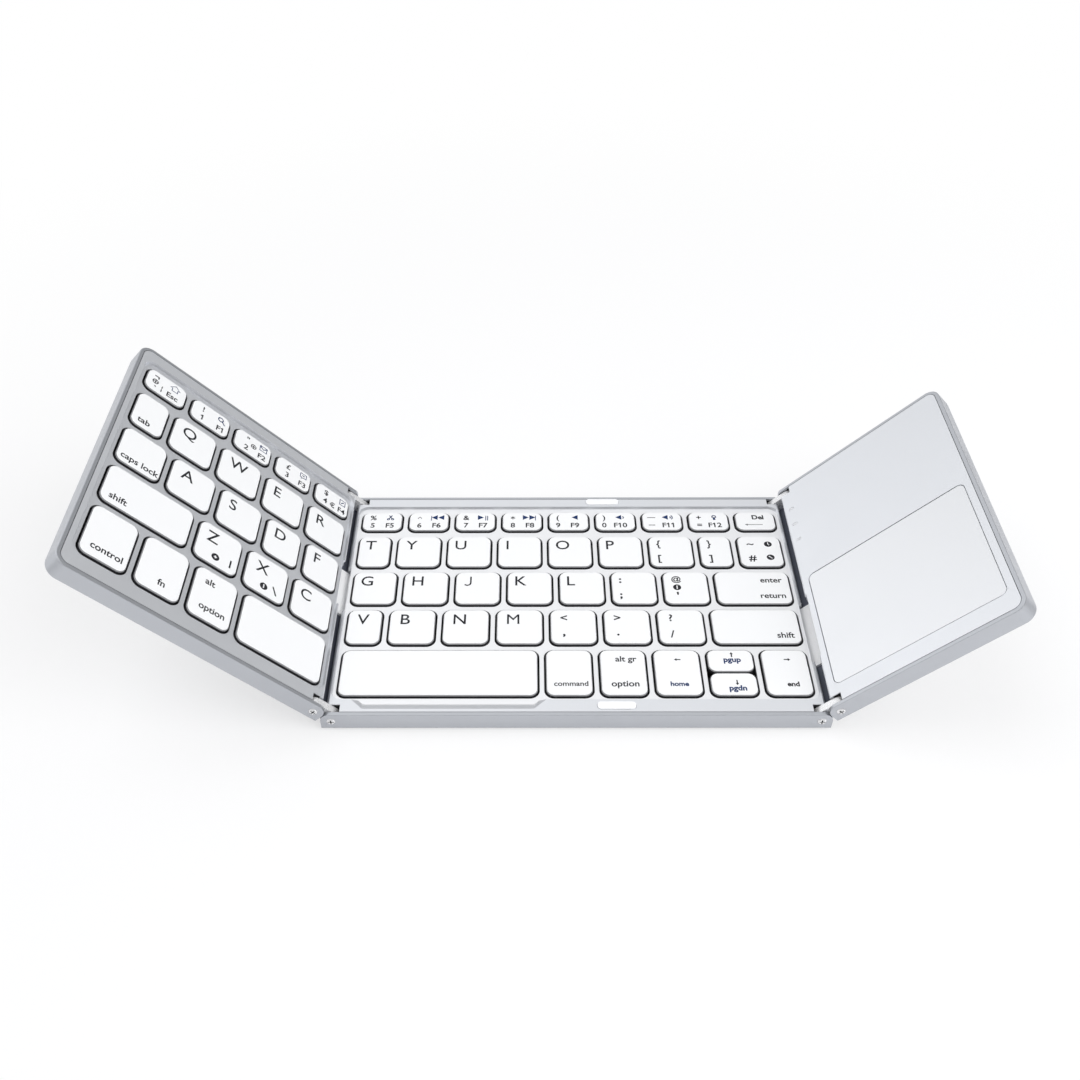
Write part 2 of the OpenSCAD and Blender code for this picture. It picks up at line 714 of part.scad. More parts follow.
module centre_key_frame() {
    edge = pin_x + edge_reach;
    gap = rim_wall + seam_gap;
    well = edge - side_rim;
    color(silver) on_centre() difference() {
        translate([-edge, gap - half_depth, frame_seat])
            cube([2 * edge, panel_depth - 2 * gap, panel_thickness - frame_seat]);
        key_well(-well, well);
        key_openings(centre_openings);
        thumb_relief();
        for (place = bumper_places)
            translate([place[0], place[1], panel_thickness - bumper_pocket]) linear_extrude(bumper_pocket + past)
                centred_rounded_rectangle(bumper_length + 2 * bumper_gap, bumper_width + 2 * bumper_gap,
                                          bumper_radius + bumper_gap);
        translate([-pin_x, 0, 0]) plate_hinge_cuts(left_bridge_y, left_bridge_length);
        translate([pin_x, 0, 0]) mirror([1, 0, 0]) plate_hinge_cuts(right_bridge_y, right_bridge_length);
    }
}

module centre_switch_board() {
    edge = pin_x + edge_reach - bridge_relief - hinge_wall - board_gap;
    on_centre() switch_board(centre_openings, -edge, edge);
}

module centre_hinge_screws() {
    on_centre() both_sides() translate([pin_x, 0, 0]) hinge_screws();
}

module bumper_pads() {
    color(key_white) on_centre() for (place = bumper_places)
        translate([place[0], place[1], panel_thickness - bumper_pocket])
            linear_extrude(bumper_pocket + bumper_proud)
                centred_rounded_rectangle(bumper_length, bumper_width, bumper_radius);
}

module centre_feet() {
    x = pin_x - foot_inset;
    y = half_depth - foot_inset;
    color(rubber) on_centre() {
        foot();
        for (place = [[-x, -y], [x, -y], [-x, y], [x, y]]) translate(place) foot();
    }
}

module centre_keys(name) {
    on_centre() keys_of(centre_openings, name);
}

// Left side

module left_hinge_links() {
    mirror([1, 0, 0]) in_right_link() hinge_links();
}

module left_hinge_spine() {
    mirror([1, 0, 0]) in_right_link() hinge_spine();
}

module left_cable_bridge() {
    mirror([1, 0, 0]) in_right_link() cable_bridge(left_bridge_y, left_bridge_length);
}

module left_bottom_shell() {
    color(silver) on_left_wing() mirror([1, 0, 0])
        wing_shell(left_reach, frame_seat, left_bridge_y, left_bridge_length);
}

module left_key_frame() {
    color(silver) on_left_wing() difference() {
        translate([0, 0, frame_seat]) linear_extrude(panel_thickness - frame_seat)
            mirror([1, 0, 0]) wing_plate_plan(left_reach);
        key_well(outer_rim - left_reach, edge_reach - side_rim);
        key_openings(left_openings);
        mirror([1, 0, 0]) plate_hinge_cuts(left_bridge_y, left_bridge_length);
    }
}

module left_switch_board() {
    on_left_wing() switch_board(left_openings, rim_wall + ledge_width + board_gap - left_reach,
                                edge_reach - bridge_relief - hinge_wall - board_gap);
}

module left_hinge_screws() {
    on_left_wing() hinge_screws();
}

module wing_feet(reach) {
    x = reach - foot_inset;
    y = half_depth - foot_inset;
    color(rubber) for (place = [[x, -y], [x, y]]) translate(place) foot();
}

module left_feet() {
    on_left_wing() mirror([1, 0, 0]) wing_feet(left_reach);
}

module left_keys(name) {
    on_left_wing() keys_of(left_openings, name);
}

// Right side

module right_hinge_links() {
    in_right_link() hinge_links();
}

module right_hinge_spine() {
    in_right_link() hinge_spine();
}

module right_cable_bridge() {
    in_right_link() cable_bridge(right_bridge_y, right_bridge_length);
}

// The touchpad's place on the right wing, drawn about its middle
module at_touchpad() {
    translate([pad_x + pad_width / 2, pad_y + pad_depth / 2 - half_depth, 0]) children();
}

// Where the battery and the main circuit board lie, behind the touchpad
board_back = half_depth - rim_wall - ledge_width - board_gap;
sensor_back = pad_y + pad_depth - half_depth + pad_gap + sensor_lap;
battery_y = sensor_back + board_gap;
board_front = battery_y + battery_width + board_gap;

module right_bottom_shell() {
    post_x = pad_width / 2 - pad_radius;
    post_y = pad_depth / 2 - pad_radius;
    color(silver) on_right_wing() {
        difference() {
            wing_shell(right_reach, cover_seat, right_bridge_y, right_bridge_length);
            // The charging socket's cut-out in the back wall
            translate([socket_x, half_depth + past, floor_wall + board_thickness + socket_height / 2])
                rotate([90, 0, 0]) linear_extrude(rim_wall + ledge_width + 2 * past)
                    centred_rounded_rectangle(socket_width + 2 * pad_gap, socket_height + 2 * pad_gap,
                                              socket_height / 2);
        }
        // Posts that carry the touchpad
        at_touchpad() for (x = [-post_x, 0, post_x], y = [-post_y, post_y])
            translate([x, y, floor_wall])
                cylinder(r = post_radius, h = cover_seat - sensor_thickness - floor_wall);
    }
}

module right_top_cover() {
    color(silver) on_right_wing() difference() {
        translate([0, 0, cover_seat]) linear_extrude(cover_thickness) wing_plate_plan(right_reach);
        at_touchpad() linear_extrude(panel_thickness + past)
            centred_rounded_rectangle(pad_width + 2 * pad_gap, pad_depth + 2 * pad_gap, pad_radius + pad_gap);
        indicator_slots(seam_gap / 2, past);
        plate_hinge_cuts(right_bridge_y, right_bridge_length);
    }
}

// The indicator windows' shapes, grown by a clearance and made taller by rise
module indicator_slots(grow, rise) {
    for (step = [-1:1])
        translate([window_x, half_depth - window_y + step * window_pitch, cover_seat - rise / 2])
            linear_extrude(cover_thickness + rise)
                centred_rounded_rectangle(window_length + 2 * grow, window_width + 2 * grow,
                                          window_width / 2 + grow - 0.01);
}

module indicator_windows() {
    color(slate) on_right_wing() indicator_slots(0, 0);
}

module touchpad() {
    top = panel_thickness - pad_recess;
    color(silver) on_right_wing() at_touchpad() {
        translate([0, 0, cover_seat]) linear_extrude(top - cover_seat)
            centred_rounded_rectangle(pad_width, pad_depth, pad_radius);
        translate([0, 0, cover_seat - sensor_thickness]) linear_extrude(sensor_thickness)
            centred_rounded_rectangle(pad_width + 2 * (pad_gap + sensor_lap),
                                      pad_depth + 2 * (pad_gap + sensor_lap), pad_radius + sensor_lap);
    }
}

module battery() {
    color(slate) on_right_wing()
        translate([right_reach / 2 - battery_length / 2, battery_y, floor_wall])
            cube([battery_length, battery_width, battery_thickness]);
}

module main_circuit_board() {
    x1 = right_reach - rim_wall - ledge_width - board_gap;
    x0 = notch_reach + hinge_wall + board_gap;
    deep = board_back - board_front;
    color(board_green) on_right_wing() translate([x0, board_front, floor_wall]) {
        cube([x1 - x0, deep, board_thickness]);
        chip_y = deep / 3;
        translate([controller_width, chip_y, board_thickness])
            cube([controller_width, controller_width, chip_height]);
        translate([x1 - x0 - 2 * radio_width, chip_y, board_thickness])
            cube([radio_width, radio_width, chip_height]);
    }
}

module charging_socket() {
    color(steel) on_right_wing()
        translate([socket_x, half_depth, floor_wall + board_thickness + socket_height / 2])
            rotate([90, 0, 0]) {
                linear_extrude(socket_length) difference() {
                    centred_rounded_rectangle(socket_width, socket_height, socket_height / 3);
                    centred_rounded_rectangle(socket_width - 2 * socket_wall, socket_height - 2 * socket_wall,
                                              socket_height / 3 - socket_wall);
                }
                translate([0, 0, socket_length - socket_wall]) linear_extrude(socket_wall)
                    centred_rounded_rectangle(socket_width, socket_height, socket_height / 3);
                translate([0, 0, socket_length / 2])
                    cube([0.6 * socket_width, 0.25 * socket_height, socket_length - 2 * socket_wall],
                         center = true);
            }
}

module right_hinge_screws() {
    on_right_wing() hinge_screws();
}

module right_feet() {
    on_right_wing() wing_feet(right_reach);
}

centre_bottom_shell();
centre_key_frame();
centre_switch_board();
centre_hinge_screws();
bumper_pads();
centre_feet();
left_hinge_links();
left_hinge_spine();
left_cable_bridge();
left_bottom_shell();
left_key_frame();
left_switch_board();
left_hinge_screws();
left_feet();
right_hinge_links();
right_hinge_spine();
right_cable_bridge();
right_bottom_shell();
right_top_cover();
touchpad();
battery();
main_circuit_board();
charging_socket();
indicator_windows();
right_hinge_screws();
right_feet();
for (name = left_key_nodes) left_keys(name);
for (name = centre_key_nodes) centre_keys(name);
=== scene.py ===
"""Dresses the folding keyboard: camera, stage, lights, finishes, keycaps and their legends."""
import json
import math

import bmesh
import bpy
from mathutils import Matrix, Vector

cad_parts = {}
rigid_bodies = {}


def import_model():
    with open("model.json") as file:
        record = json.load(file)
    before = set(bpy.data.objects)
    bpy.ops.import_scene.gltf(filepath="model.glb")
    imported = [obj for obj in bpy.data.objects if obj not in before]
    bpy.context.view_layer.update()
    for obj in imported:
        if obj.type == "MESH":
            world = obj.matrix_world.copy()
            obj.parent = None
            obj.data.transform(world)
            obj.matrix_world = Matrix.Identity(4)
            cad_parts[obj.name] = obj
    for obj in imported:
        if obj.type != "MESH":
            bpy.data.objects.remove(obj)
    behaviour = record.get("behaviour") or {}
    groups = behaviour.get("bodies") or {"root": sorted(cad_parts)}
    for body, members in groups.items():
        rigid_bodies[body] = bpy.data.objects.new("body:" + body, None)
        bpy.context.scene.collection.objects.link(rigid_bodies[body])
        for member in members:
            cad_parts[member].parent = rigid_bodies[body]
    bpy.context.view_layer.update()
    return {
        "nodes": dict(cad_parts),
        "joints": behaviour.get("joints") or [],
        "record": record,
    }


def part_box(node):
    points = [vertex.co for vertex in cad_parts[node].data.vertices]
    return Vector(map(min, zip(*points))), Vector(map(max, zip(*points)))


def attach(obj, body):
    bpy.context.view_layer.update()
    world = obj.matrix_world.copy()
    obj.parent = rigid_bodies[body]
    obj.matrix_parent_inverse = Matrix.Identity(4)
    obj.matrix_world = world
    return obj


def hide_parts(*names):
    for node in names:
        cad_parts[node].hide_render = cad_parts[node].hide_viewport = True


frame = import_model()

MM = 0.001
NODES = frame["nodes"]
JOINTS = {joint["name"]: joint for joint in frame["joints"]}
NODE_BODY = {node: body for body, nodes in frame["record"]["behaviour"]["bodies"].items()
             for node in nodes}


# Shader nodes


def feed(tree, value, socket):
    """Sets a socket to a plain number, or links another socket to it."""
    if isinstance(value, (int, float)):
        socket.default_value = value
    else:
        tree.links.new(value, socket)


def math_node(tree, operation, first, second):
    """The result of a Math node on two sockets or plain numbers."""
    node = tree.nodes.new("ShaderNodeMath")
    node.operation = operation
    for socket, value in zip(node.inputs, (first, second)):
        feed(tree, value, socket)
    return node.outputs[0]


def map_range(tree, value, source, target=(0.0, 1.0), smooth=False):
    """A socket's numbers, carried from one range to another and held inside it."""
    node = tree.nodes.new("ShaderNodeMapRange")
    if smooth:
        node.interpolation_type = "SMOOTHSTEP"
    for name, number in zip(("From Min", "From Max", "To Min", "To Max"), (*source, *target)):
        node.inputs[name].default_value = number
    tree.links.new(value, node.inputs["Value"])
    return node.outputs["Result"]


def mix_values(tree, kind, factor, low, high):
    """A Mix node between two plain values of that kind, FLOAT or RGBA."""
    node = tree.nodes.new("ShaderNodeMix")
    node.data_type = kind
    node.inputs["A"].default_value = low
    node.inputs["B"].default_value = high
    tree.links.new(factor, node.inputs["Factor"])
    return node.outputs["Result"]


def mix_shaders(tree, factor, first, second):
    """A Mix Shader node that goes from the first shader to the second."""
    node = tree.nodes.new("ShaderNodeMixShader")
    for value, socket in zip((factor, first, second), node.inputs):
        tree.links.new(value, socket)
    return node.outputs[0]


def seen_straight(tree, path):
    """1 for a ray from the camera, also through glass, and 0 for any other."""
    return math_node(tree, "MAXIMUM", path.outputs["Is Camera Ray"],
                     path.outputs["Is Transmission Ray"])


def principled(name, colour, roughness, metallic=0.0, **sockets):
    """A material with one Principled shader, whose plain numbers sit on its own sockets."""
    material = bpy.data.materials.new(name)
    material.use_nodes = True
    shader = material.node_tree.nodes["Principled BSDF"]
    shader.inputs["Base Color"].default_value = (*colour, 1)
    shader.inputs["Roughness"].default_value = roughness
    shader.inputs["Metallic"].default_value = metallic
    for socket, value in sockets.items():
        shader.inputs[socket.replace("_", " ")].default_value = value
    return material


# Camera: its framing is in pixels of the photograph, its angles are in degrees

PHOTO_SIZE = 1080
FOCAL_PIXELS = 1113.85
AXIS_PIXEL = (520.4, 615.7)
SENSOR_WIDTH = 36
CLIP_RANGE = (0.01, 20)
CAMERA_PLACE = Vector((-14.75, -252.7, 263.3)) * MM
CAMERA_PITCH = 46.4
CAMERA_YAW = 0.42
CAMERA_ROLL = 0.35


def make_camera():
    """The photograph's own view, with its focal length and the small shift of its framing."""
    data = bpy.data.cameras.new("camera")
    camera = bpy.data.objects.new("camera", data)
    bpy.context.scene.collection.objects.link(camera)
    turn = (Matrix.Rotation(math.radians(CAMERA_YAW), 3, "Z")
            @ Matrix.Rotation(math.radians(-CAMERA_PITCH), 3, "X")
            @ Matrix.Rotation(math.radians(CAMERA_ROLL), 3, "Y"))
    right, ahead, up = (turn.col[i].copy() for i in range(3))
    axes = Matrix((right, up, -ahead)).transposed().to_4x4()
    camera.matrix_world = Matrix.Translation(CAMERA_PLACE) @ axes
    data.sensor_width = SENSOR_WIDTH
    data.lens = SENSOR_WIDTH * FOCAL_PIXELS / PHOTO_SIZE
    data.shift_x = (PHOTO_SIZE / 2 - AXIS_PIXEL[0]) / PHOTO_SIZE
    data.shift_y = (AXIS_PIXEL[1] - PHOTO_SIZE / 2) / PHOTO_SIZE
    data.clip_start, data.clip_end = CLIP_RANGE
    bpy.context.scene.camera = camera


# Stage: metal mirrors the walls of a soft white room, and the camera sees plain white

LIGHT_TARGET = (0, 0, 0.03)
LIGHT_SIZE = 1.0
# The place and the power of each lamp, in metres and watts
LIGHTS = {
    "left_light": ((-0.55, 0.15, 1.15), 5.8),
    "right_light": ((0.75, -0.5, 0.8), 9.3),
}
ROOM_TINT = (0.98, 0.988, 1.0)
ROOM_FILL = 0.5
ROOM_DIM = 0.38
# The bright sides of the walls: their direction, the cosines over which they fade in, their rise
ROOM_SIDES = (
    ((-0.4, 0.1, 0.88), (0.05, 0.95), 0.72),
    ((-0.93, 0.30, -0.20), (0.66, 0.86), 0.55),
)
BACKDROP = (1, 1, 1)
FLOOR_HALF = 4.0
FLOOR_ROUGHNESS = 0.9
FLOOR_SPECULAR = 0.1
FLOOR_BOUNCE = (0.6, 0.6, 0.6)
FLOOR_PALE = (0.92, 0.92, 0.93)
# How far the floor is lifted to white, and the distances from the middle over which that changes
FLOOR_LIFT = (0.6, 1.0)
FLOOR_LIFT_REACH = (0.17, 0.42)


def make_lights():
    """Square soft boxes that face the part. Metal mirrors the room instead of them."""
    for name, (place, power) in LIGHTS.items():
        data = bpy.data.lights.new(name, "AREA")
        data.shape = "SQUARE"
        data.size = LIGHT_SIZE
        data.energy = power
        light = bpy.data.objects.new(name, data)
        bpy.context.scene.collection.objects.link(light)
        light.visible_glossy = False
        light.location = place
        aim = Vector(LIGHT_TARGET) - Vector(place)
        light.rotation_euler = aim.to_track_quat("-Z", "Y").to_euler()


def background(tree, colour, strength):
    """A background shader, whose strength is a plain number or a socket."""
    shader = tree.nodes.new("ShaderNodeBackground")
    shader.inputs["Color"].default_value = (*colour, 1)
    feed(tree, strength, shader.inputs["Strength"])
    return shader.outputs[0]


def facing(tree, direction, cosines):
    """From 0 to 1 as the view of the room turns towards a direction, between two cosines."""
    coords = tree.nodes.new("ShaderNodeTexCoord")
    dot = tree.nodes.new("ShaderNodeVectorMath")
    dot.operation = "DOT_PRODUCT"
    dot.inputs[1].default_value = Vector(direction).normalized()
    tree.links.new(coords.outputs["Generated"], dot.inputs[0])
    return map_range(tree, dot.outputs["Value"], cosines, smooth=True)


def make_world():
    """A soft white studio. Its pale walls are bright above and on the left, and fall off to the
    right and in front."""
    world = bpy.data.worlds.new("studio")
    bpy.context.scene.world = world
    world.use_nodes = True
    tree = world.node_tree
    tree.nodes.clear()
    walls = ROOM_DIM
    for direction, cosines, rise in ROOM_SIDES:
        side = math_node(tree, "MULTIPLY", facing(tree, direction, cosines), rise)
        walls = math_node(tree, "ADD", walls, side)
    path = tree.nodes.new("ShaderNodeLightPath")
    room = mix_shaders(tree, path.outputs["Is Glossy Ray"],
                       background(tree, ROOM_TINT, ROOM_FILL), background(tree, ROOM_TINT, walls))
    seen = mix_shaders(tree, seen_straight(tree, path), room, background(tree, BACKDROP, 1.0))
    out = tree.nodes.new("ShaderNodeOutputWorld")
    tree.links.new(seen, out.inputs["Surface"])


def make_floor():
    """A plain white floor that keeps the soft shadow near the part, and is pale in metal too."""
    mesh = bpy.data.meshes.new("floor")
    corners = ((-1, -1), (1, -1), (1, 1), (-1, 1))
    mesh.from_pydata([(x * FLOOR_HALF, y * FLOOR_HALF, 0) for x, y in corners], [], [(0, 1, 2, 3)])
    floor = bpy.data.objects.new("floor", mesh)
    bpy.context.scene.collection.objects.link(floor)
    material = principled("floor_white", FLOOR_PALE, FLOOR_ROUGHNESS,
                          Specular_IOR_Level=FLOOR_SPECULAR)
    tree = material.node_tree
    shader = tree.nodes["Principled BSDF"]
    path = tree.nodes.new("ShaderNodeLightPath")
    seen = seen_straight(tree, path)
    pale = math_node(tree, "MAXIMUM", seen, path.outputs["Is Glossy Ray"])
    colour = mix_values(tree, "RGBA", pale, (*FLOOR_BOUNCE, 1), (*FLOOR_PALE, 1))
    tree.links.new(colour, shader.inputs["Base Color"])
    coords = tree.nodes.new("ShaderNodeTexCoord")
    away = tree.nodes.new("ShaderNodeVectorMath")
    away.operation = "LENGTH"
    tree.links.new(coords.outputs["Object"], away.inputs[0])
    lift = map_range(tree, away.outputs["Value"], FLOOR_LIFT_REACH, FLOOR_LIFT, smooth=True)
    white = tree.nodes.new("ShaderNodeEmission")
    lifted = mix_shaders(tree, math_node(tree, "MULTIPLY", seen, lift),
                         shader.outputs[0], white.outputs[0])
    tree.links.new(lifted, tree.nodes["Material Output"].inputs["Surface"])
    mesh.materials.append(material)


# Finishes

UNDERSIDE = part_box("centre_bottom_shell")[0].z
NOISE_RANGE = (0.3, 0.7)
DRIFT_DETAIL = 2.0
BUMP_DETAIL = 3.0
FRAME_SILVER = (0.785, 0.80, 0.83)
FRAME_METAL = 0.75
# Painted light on the floor of the middle frame's well: a paler, less metallic silver than the
# rim's, and the heights over the underside over which it fades into the rim's
WELL_PAINTED_LIGHT_SILVER = (0.885, 0.89, 0.905)
WELL_PAINTED_LIGHT_METAL = 0.55
WELL_RISE = (5.45 * MM, 5.75 * MM)
FRAME_LOOK = {"colour": FRAME_SILVER, "roughness": 0.36, "metallic": FRAME_METAL,
              "drift": (0.33, 0.40, 0.06), "bump": (9, 0.004)}
# A drift is the range of the roughness and tones are the two ends of the colour. Both end with the
# cells of their noise to the millimetre. A bump is a fine relief: its cells to the millimetre, its
# height in millimetres and, where it is brushed, the stretch of its cells.
LOOKS = {
    "shell_aluminium": {"colour": (0.515, 0.53, 0.56), "roughness": 0.34, "metallic": 0.85,
                        "drift": (0.31, 0.38, 0.08), "bump": (12, 0.003)},
    "frame_plastic": FRAME_LOOK,
    "touch_surface": {"colour": (0.82, 0.83, 0.85), "roughness": 0.32, "metallic": 0.7,
                      "drift": (0.30, 0.35, 0.05), "bump": (16, 0.002)},
    "hinge_steel": {"colour": (0.88, 0.88, 0.89), "roughness": 0.26, "metallic": 0.45,
                    "drift": (0.20, 0.32, 0.8), "bump": (3, 0.004, (1, 0.05, 1))},
    "spine_plastic": {"colour": (0.12, 0.13, 0.165), "roughness": 0.4, "bump": (8, 0.006)},
    "key_plastic": {"colour": (0.90, 0.905, 0.915), "roughness": 0.42, "Coat_Weight": 0.1,
                    "drift": (0.38, 0.46, 0.3), "bump": (14, 0.002)},
    "bumper_rubber": {"colour": (0.92, 0.925, 0.94), "roughness": 0.6, "bump": (6, 0.004)},
    "foot_rubber": {"colour": (0.03, 0.03, 0.033), "roughness": 0.8, "bump": (4, 0.02),
                    "tones": ((0.025, 0.025, 0.028), (0.045, 0.045, 0.05), 0.8)},
    "circuit_board": {"colour": (0.012, 0.013, 0.016), "roughness": 0.45,
                      "tones": ((0.010, 0.011, 0.014), (0.02, 0.022, 0.026), 0.2)},
    "battery_wrap": {"colour": (0.35, 0.36, 0.39), "roughness": 0.3, "metallic": 0.6,
                     "bump": (0.3, 0.05)},
    "socket_steel": {"colour": (0.70, 0.70, 0.71), "roughness": 0.25, "metallic": 1.0,
                     "bump": (5, 0.003)},
    "indicator_lens": {"colour": (0.84, 0.85, 0.87), "roughness": 0.4, "bump": (3, 0.002)},
    "bridge_plastic": {"colour": (0.96, 0.963, 0.97), "roughness": 0.4, "bump": (9, 0.003)},
    # The middle frame, with painted light on the floor of its well
    "centre_frame_plastic": FRAME_LOOK,
    # Painted shade: the grey of the keycaps' side band and the near black of their skirts, which
    # also darkens the link notches and the screws' recesses
    "key_side_band": {"colour": (0.30, 0.30, 0.31), "roughness": 0.5, "bump": (14, 0.002)},
    "key_skirt": {"colour": (0.026, 0.026, 0.029), "roughness": 0.7, "Specular_IOR_Level": 0.15,
                  "bump": (10, 0.003)},
    "legend_ink": {"colour": (0.022, 0.022, 0.026), "roughness": 0.7, "Specular_IOR_Level": 0.2,
                   "tones": ((0.018, 0.018, 0.022), (0.028, 0.028, 0.032), 1.5)},
    "legend_blue_ink": {"colour": (0.015, 0.035, 0.11), "roughness": 0.7,
                        "Specular_IOR_Level": 0.2,
                        "tones": ((0.012, 0.03, 0.10), (0.02, 0.042, 0.13), 1.5)},
}
# CAD nodes that don't take the finish of their own slot
OWN_FINISHES = {
    "left_cable_bridge": "bridge_plastic",
    "right_cable_bridge": "bridge_plastic",
    "centre_key_frame": "centre_frame_plastic",
}


def noise(tree, scale, detail, stretch=(1, 1, 1)):
    """The factor of a noise over an object's own place, with scale cells to the millimetre."""
    coords = tree.nodes.new("ShaderNodeTexCoord")
    place = tree.nodes.new("ShaderNodeMapping")
    place.inputs["Scale"].default_value = [scale / MM * s for s in stretch]
    tree.links.new(coords.outputs["Object"], place.inputs["Vector"])
    grain = tree.nodes.new("ShaderNodeTexNoise")
    grain.inputs["Scale"].default_value = 1.0
    grain.inputs["Detail"].default_value = detail
    tree.links.new(place.outputs["Vector"], grain.inputs["Vector"])
    return grain.outputs["Fac"]


def add_bump(material, scale, height, stretch=(1, 1, 1)):
    """A fine relief of that height in millimetres."""
    tree = material.node_tree
    bump = tree.nodes.new("ShaderNodeBump")
    bump.inputs["Strength"].default_value = 1.0
    bump.inputs["Distance"].default_value = height * MM
    tree.links.new(noise(tree, scale, BUMP_DETAIL, stretch), bump.inputs["Height"])
    tree.links.new(bump.outputs["Normal"], tree.nodes["Principled BSDF"].inputs["Normal"])


def vary_roughness(material, low, high, scale):
    """Lets the roughness drift between low and high over the surface."""
    tree = material.node_tree
    drift = map_range(tree, noise(tree, scale, DRIFT_DETAIL), NOISE_RANGE, (low, high))
    tree.links.new(drift, tree.nodes["Principled BSDF"].inputs["Roughness"])


def vary_colour(material, low, high, scale):
    """Lets the base colour drift between two tones."""
    tree = material.node_tree
    ramp = tree.nodes.new("ShaderNodeValToRGB")
    for stop, position, tone in zip(ramp.color_ramp.elements, NOISE_RANGE, (low, high)):
        stop.position = position
        stop.color = (*tone, 1)
    tree.links.new(noise(tree, scale, DRIFT_DETAIL), ramp.inputs["Fac"])
    tree.links.new(ramp.outputs["Color"], tree.nodes["Principled BSDF"].inputs["Base Color"])


def finish(name, colour, roughness, metallic=0.0, drift=(), tones=(), bump=(), **sockets):
    """A finish, as its look describes it."""
    material = principled(name, colour, roughness, metallic, **sockets)
    if drift:
        vary_roughness(material, *drift)
    if tones:
        vary_colour(material, *tones)
    if bump:
        add_bump(material, *bump)
    return material


def paint_light_on_well(material):
    """Painted light: makes the middle frame's silver paler and less metallic on the floor of the
    well.
    """
    tree = material.node_tree
    coords = tree.nodes.new("ShaderNodeTexCoord")
    height = tree.nodes.new("ShaderNodeSeparateXYZ")
    tree.links.new(coords.outputs["Object"], height.inputs["Vector"])
    rise = map_range(tree, height.outputs["Z"], [UNDERSIDE + level for level in WELL_RISE])
    shader = tree.nodes["Principled BSDF"]
    for kind, socket, low, high in (
            ("RGBA", "Base Color", (*WELL_PAINTED_LIGHT_SILVER, 1), (*FRAME_SILVER, 1)),
            ("FLOAT", "Metallic", WELL_PAINTED_LIGHT_METAL, FRAME_METAL)):
        tree.links.new(mix_values(tree, kind, rise, low, high), shader.inputs[socket])


FINISHES = {name: finish(name, **look) for name, look in LOOKS.items()}
paint_light_on_well(FINISHES["centre_frame_plastic"])

# The rounding of CAD nodes' edges: its width in millimetres and the nodes that have it
EDGE_WIDTHS = {
    0.12: ("centre_bottom_shell", "left_bottom_shell", "right_bottom_shell", "centre_key_frame",
           "left_key_frame", "left_cable_bridge", "right_cable_bridge", "bumper_pads"),
    0.28: ("right_top_cover",),
    0.2: ("touchpad",),
}
WELD_GAP = 0.002 * MM
EDGE_ANGLE = 40
EDGE_SEGMENTS = 2
FLAT_WEIGHT = 100


def soften_edges(node, width):
    """Rounds the edges of a CAD node by that many millimetres."""
    thing = NODES[node]
    weld = thing.modifiers.new("weld", "WELD")
    weld.merge_threshold = WELD_GAP
    bevel = thing.modifiers.new("bevel", "BEVEL")
    bevel.width = width * MM
    bevel.segments = EDGE_SEGMENTS
    bevel.limit_method = "ANGLE"
    bevel.angle_limit = math.radians(EDGE_ANGLE)
    bevel.harden_normals = True
    bevel.use_clamp_overlap = True
    flat = thing.modifiers.new("flat_faces", "WEIGHTED_NORMAL")
    flat.weight = FLAT_WEIGHT
    flat.keep_sharp = True


def dress_cad_nodes():
    """Every CAD node takes its own finish, or that of its slot in the record."""
    for part in frame["record"]["subparts"]:
        materials = NODES[part["node"]].data.materials
        materials.clear()
        materials.append(FINISHES[OWN_FINISHES.get(part["node"], part["material_slot"])])
    for width, nodes in EDGE_WIDTHS.items():
        for node in nodes:
            soften_edges(node, width)


# Panels

PIVOT_HEIGHT = JOINTS["left_link_hinge"]["pos_m"][2] - UNDERSIDE


def hinge_matrix(side, hinge, height):
    """Carries a frame that lies along a link or a wing, and has the axis of a hinge at that height
    over x = 0, to the part's own frame."""
    inner = Vector(JOINTS[side + "_link_hinge"]["pos_m"])
    outer = Vector(JOINTS[side + "_wing_hinge"]["pos_m"])
    across = (outer - inner).normalized()
    if side == "left":
        across.negate()
    normal = across.cross(Vector((0, 1, 0)))
    turn = Matrix((across, Vector((0, 1, 0)), normal)).transposed().to_4x4()
    place = Vector(JOINTS[side + hinge]["pos_m"])
    return Matrix.Translation(place - normal * height) @ turn


PANELS = {
    "centre": Matrix.Translation((0, 0, UNDERSIDE)),
    "left_wing": hinge_matrix("left", "_wing_hinge", PIVOT_HEIGHT),
    "right_wing": hinge_matrix("right", "_wing_hinge", PIVOT_HEIGHT),
    "left_link": hinge_matrix("left", "_link_hinge", 0),
    "right_link": hinge_matrix("right", "_link_hinge", 0),
}


def new_piece(name, bm, finishes, panel, body, replaced=()):
    """A bmesh drawn in a panel's own frame becomes a piece that rides on a body."""
    mesh = bpy.data.meshes.new(name)
    bm.to_mesh(mesh)
    bm.free()
    mesh.transform(PANELS[panel])
    for material in finishes:
        mesh.materials.append(FINISHES[material])
    piece = bpy.data.objects.new(name, mesh)
    bpy.context.scene.collection.objects.link(piece)
    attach(piece, body)
    if replaced:
        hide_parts(*replaced)


# Keycaps

KEY_RADIUS = 2.6 * MM
LEAST_RADIUS = 0.3 * MM
CAP_SHOULDER = 0.8 * MM
CAP_LEAN = 0.3 * MM
BAND_LOW = 0.55 * MM
EDGE_ROUND = 0.28 * MM
CORNER_STEPS = 8
EDGE_STEPS = 4
# A cap's finishes: its white plastic, then the painted shade of its side band and of its skirt
CAP_FINISHES = ("key_plastic", "key_side_band", "key_skirt")
TOP, PAINTED_SHADE_BAND, PAINTED_SHADE_SKIRT = range(3)
# The finish of each row of a cap's side faces from below: painted shade, near black in the lower
# rows and grey above them. The rows above these are as the last.
SIDE_ROWS = (PAINTED_SHADE_SKIRT, PAINTED_SHADE_SKIRT, PAINTED_SHADE_BAND, TOP)


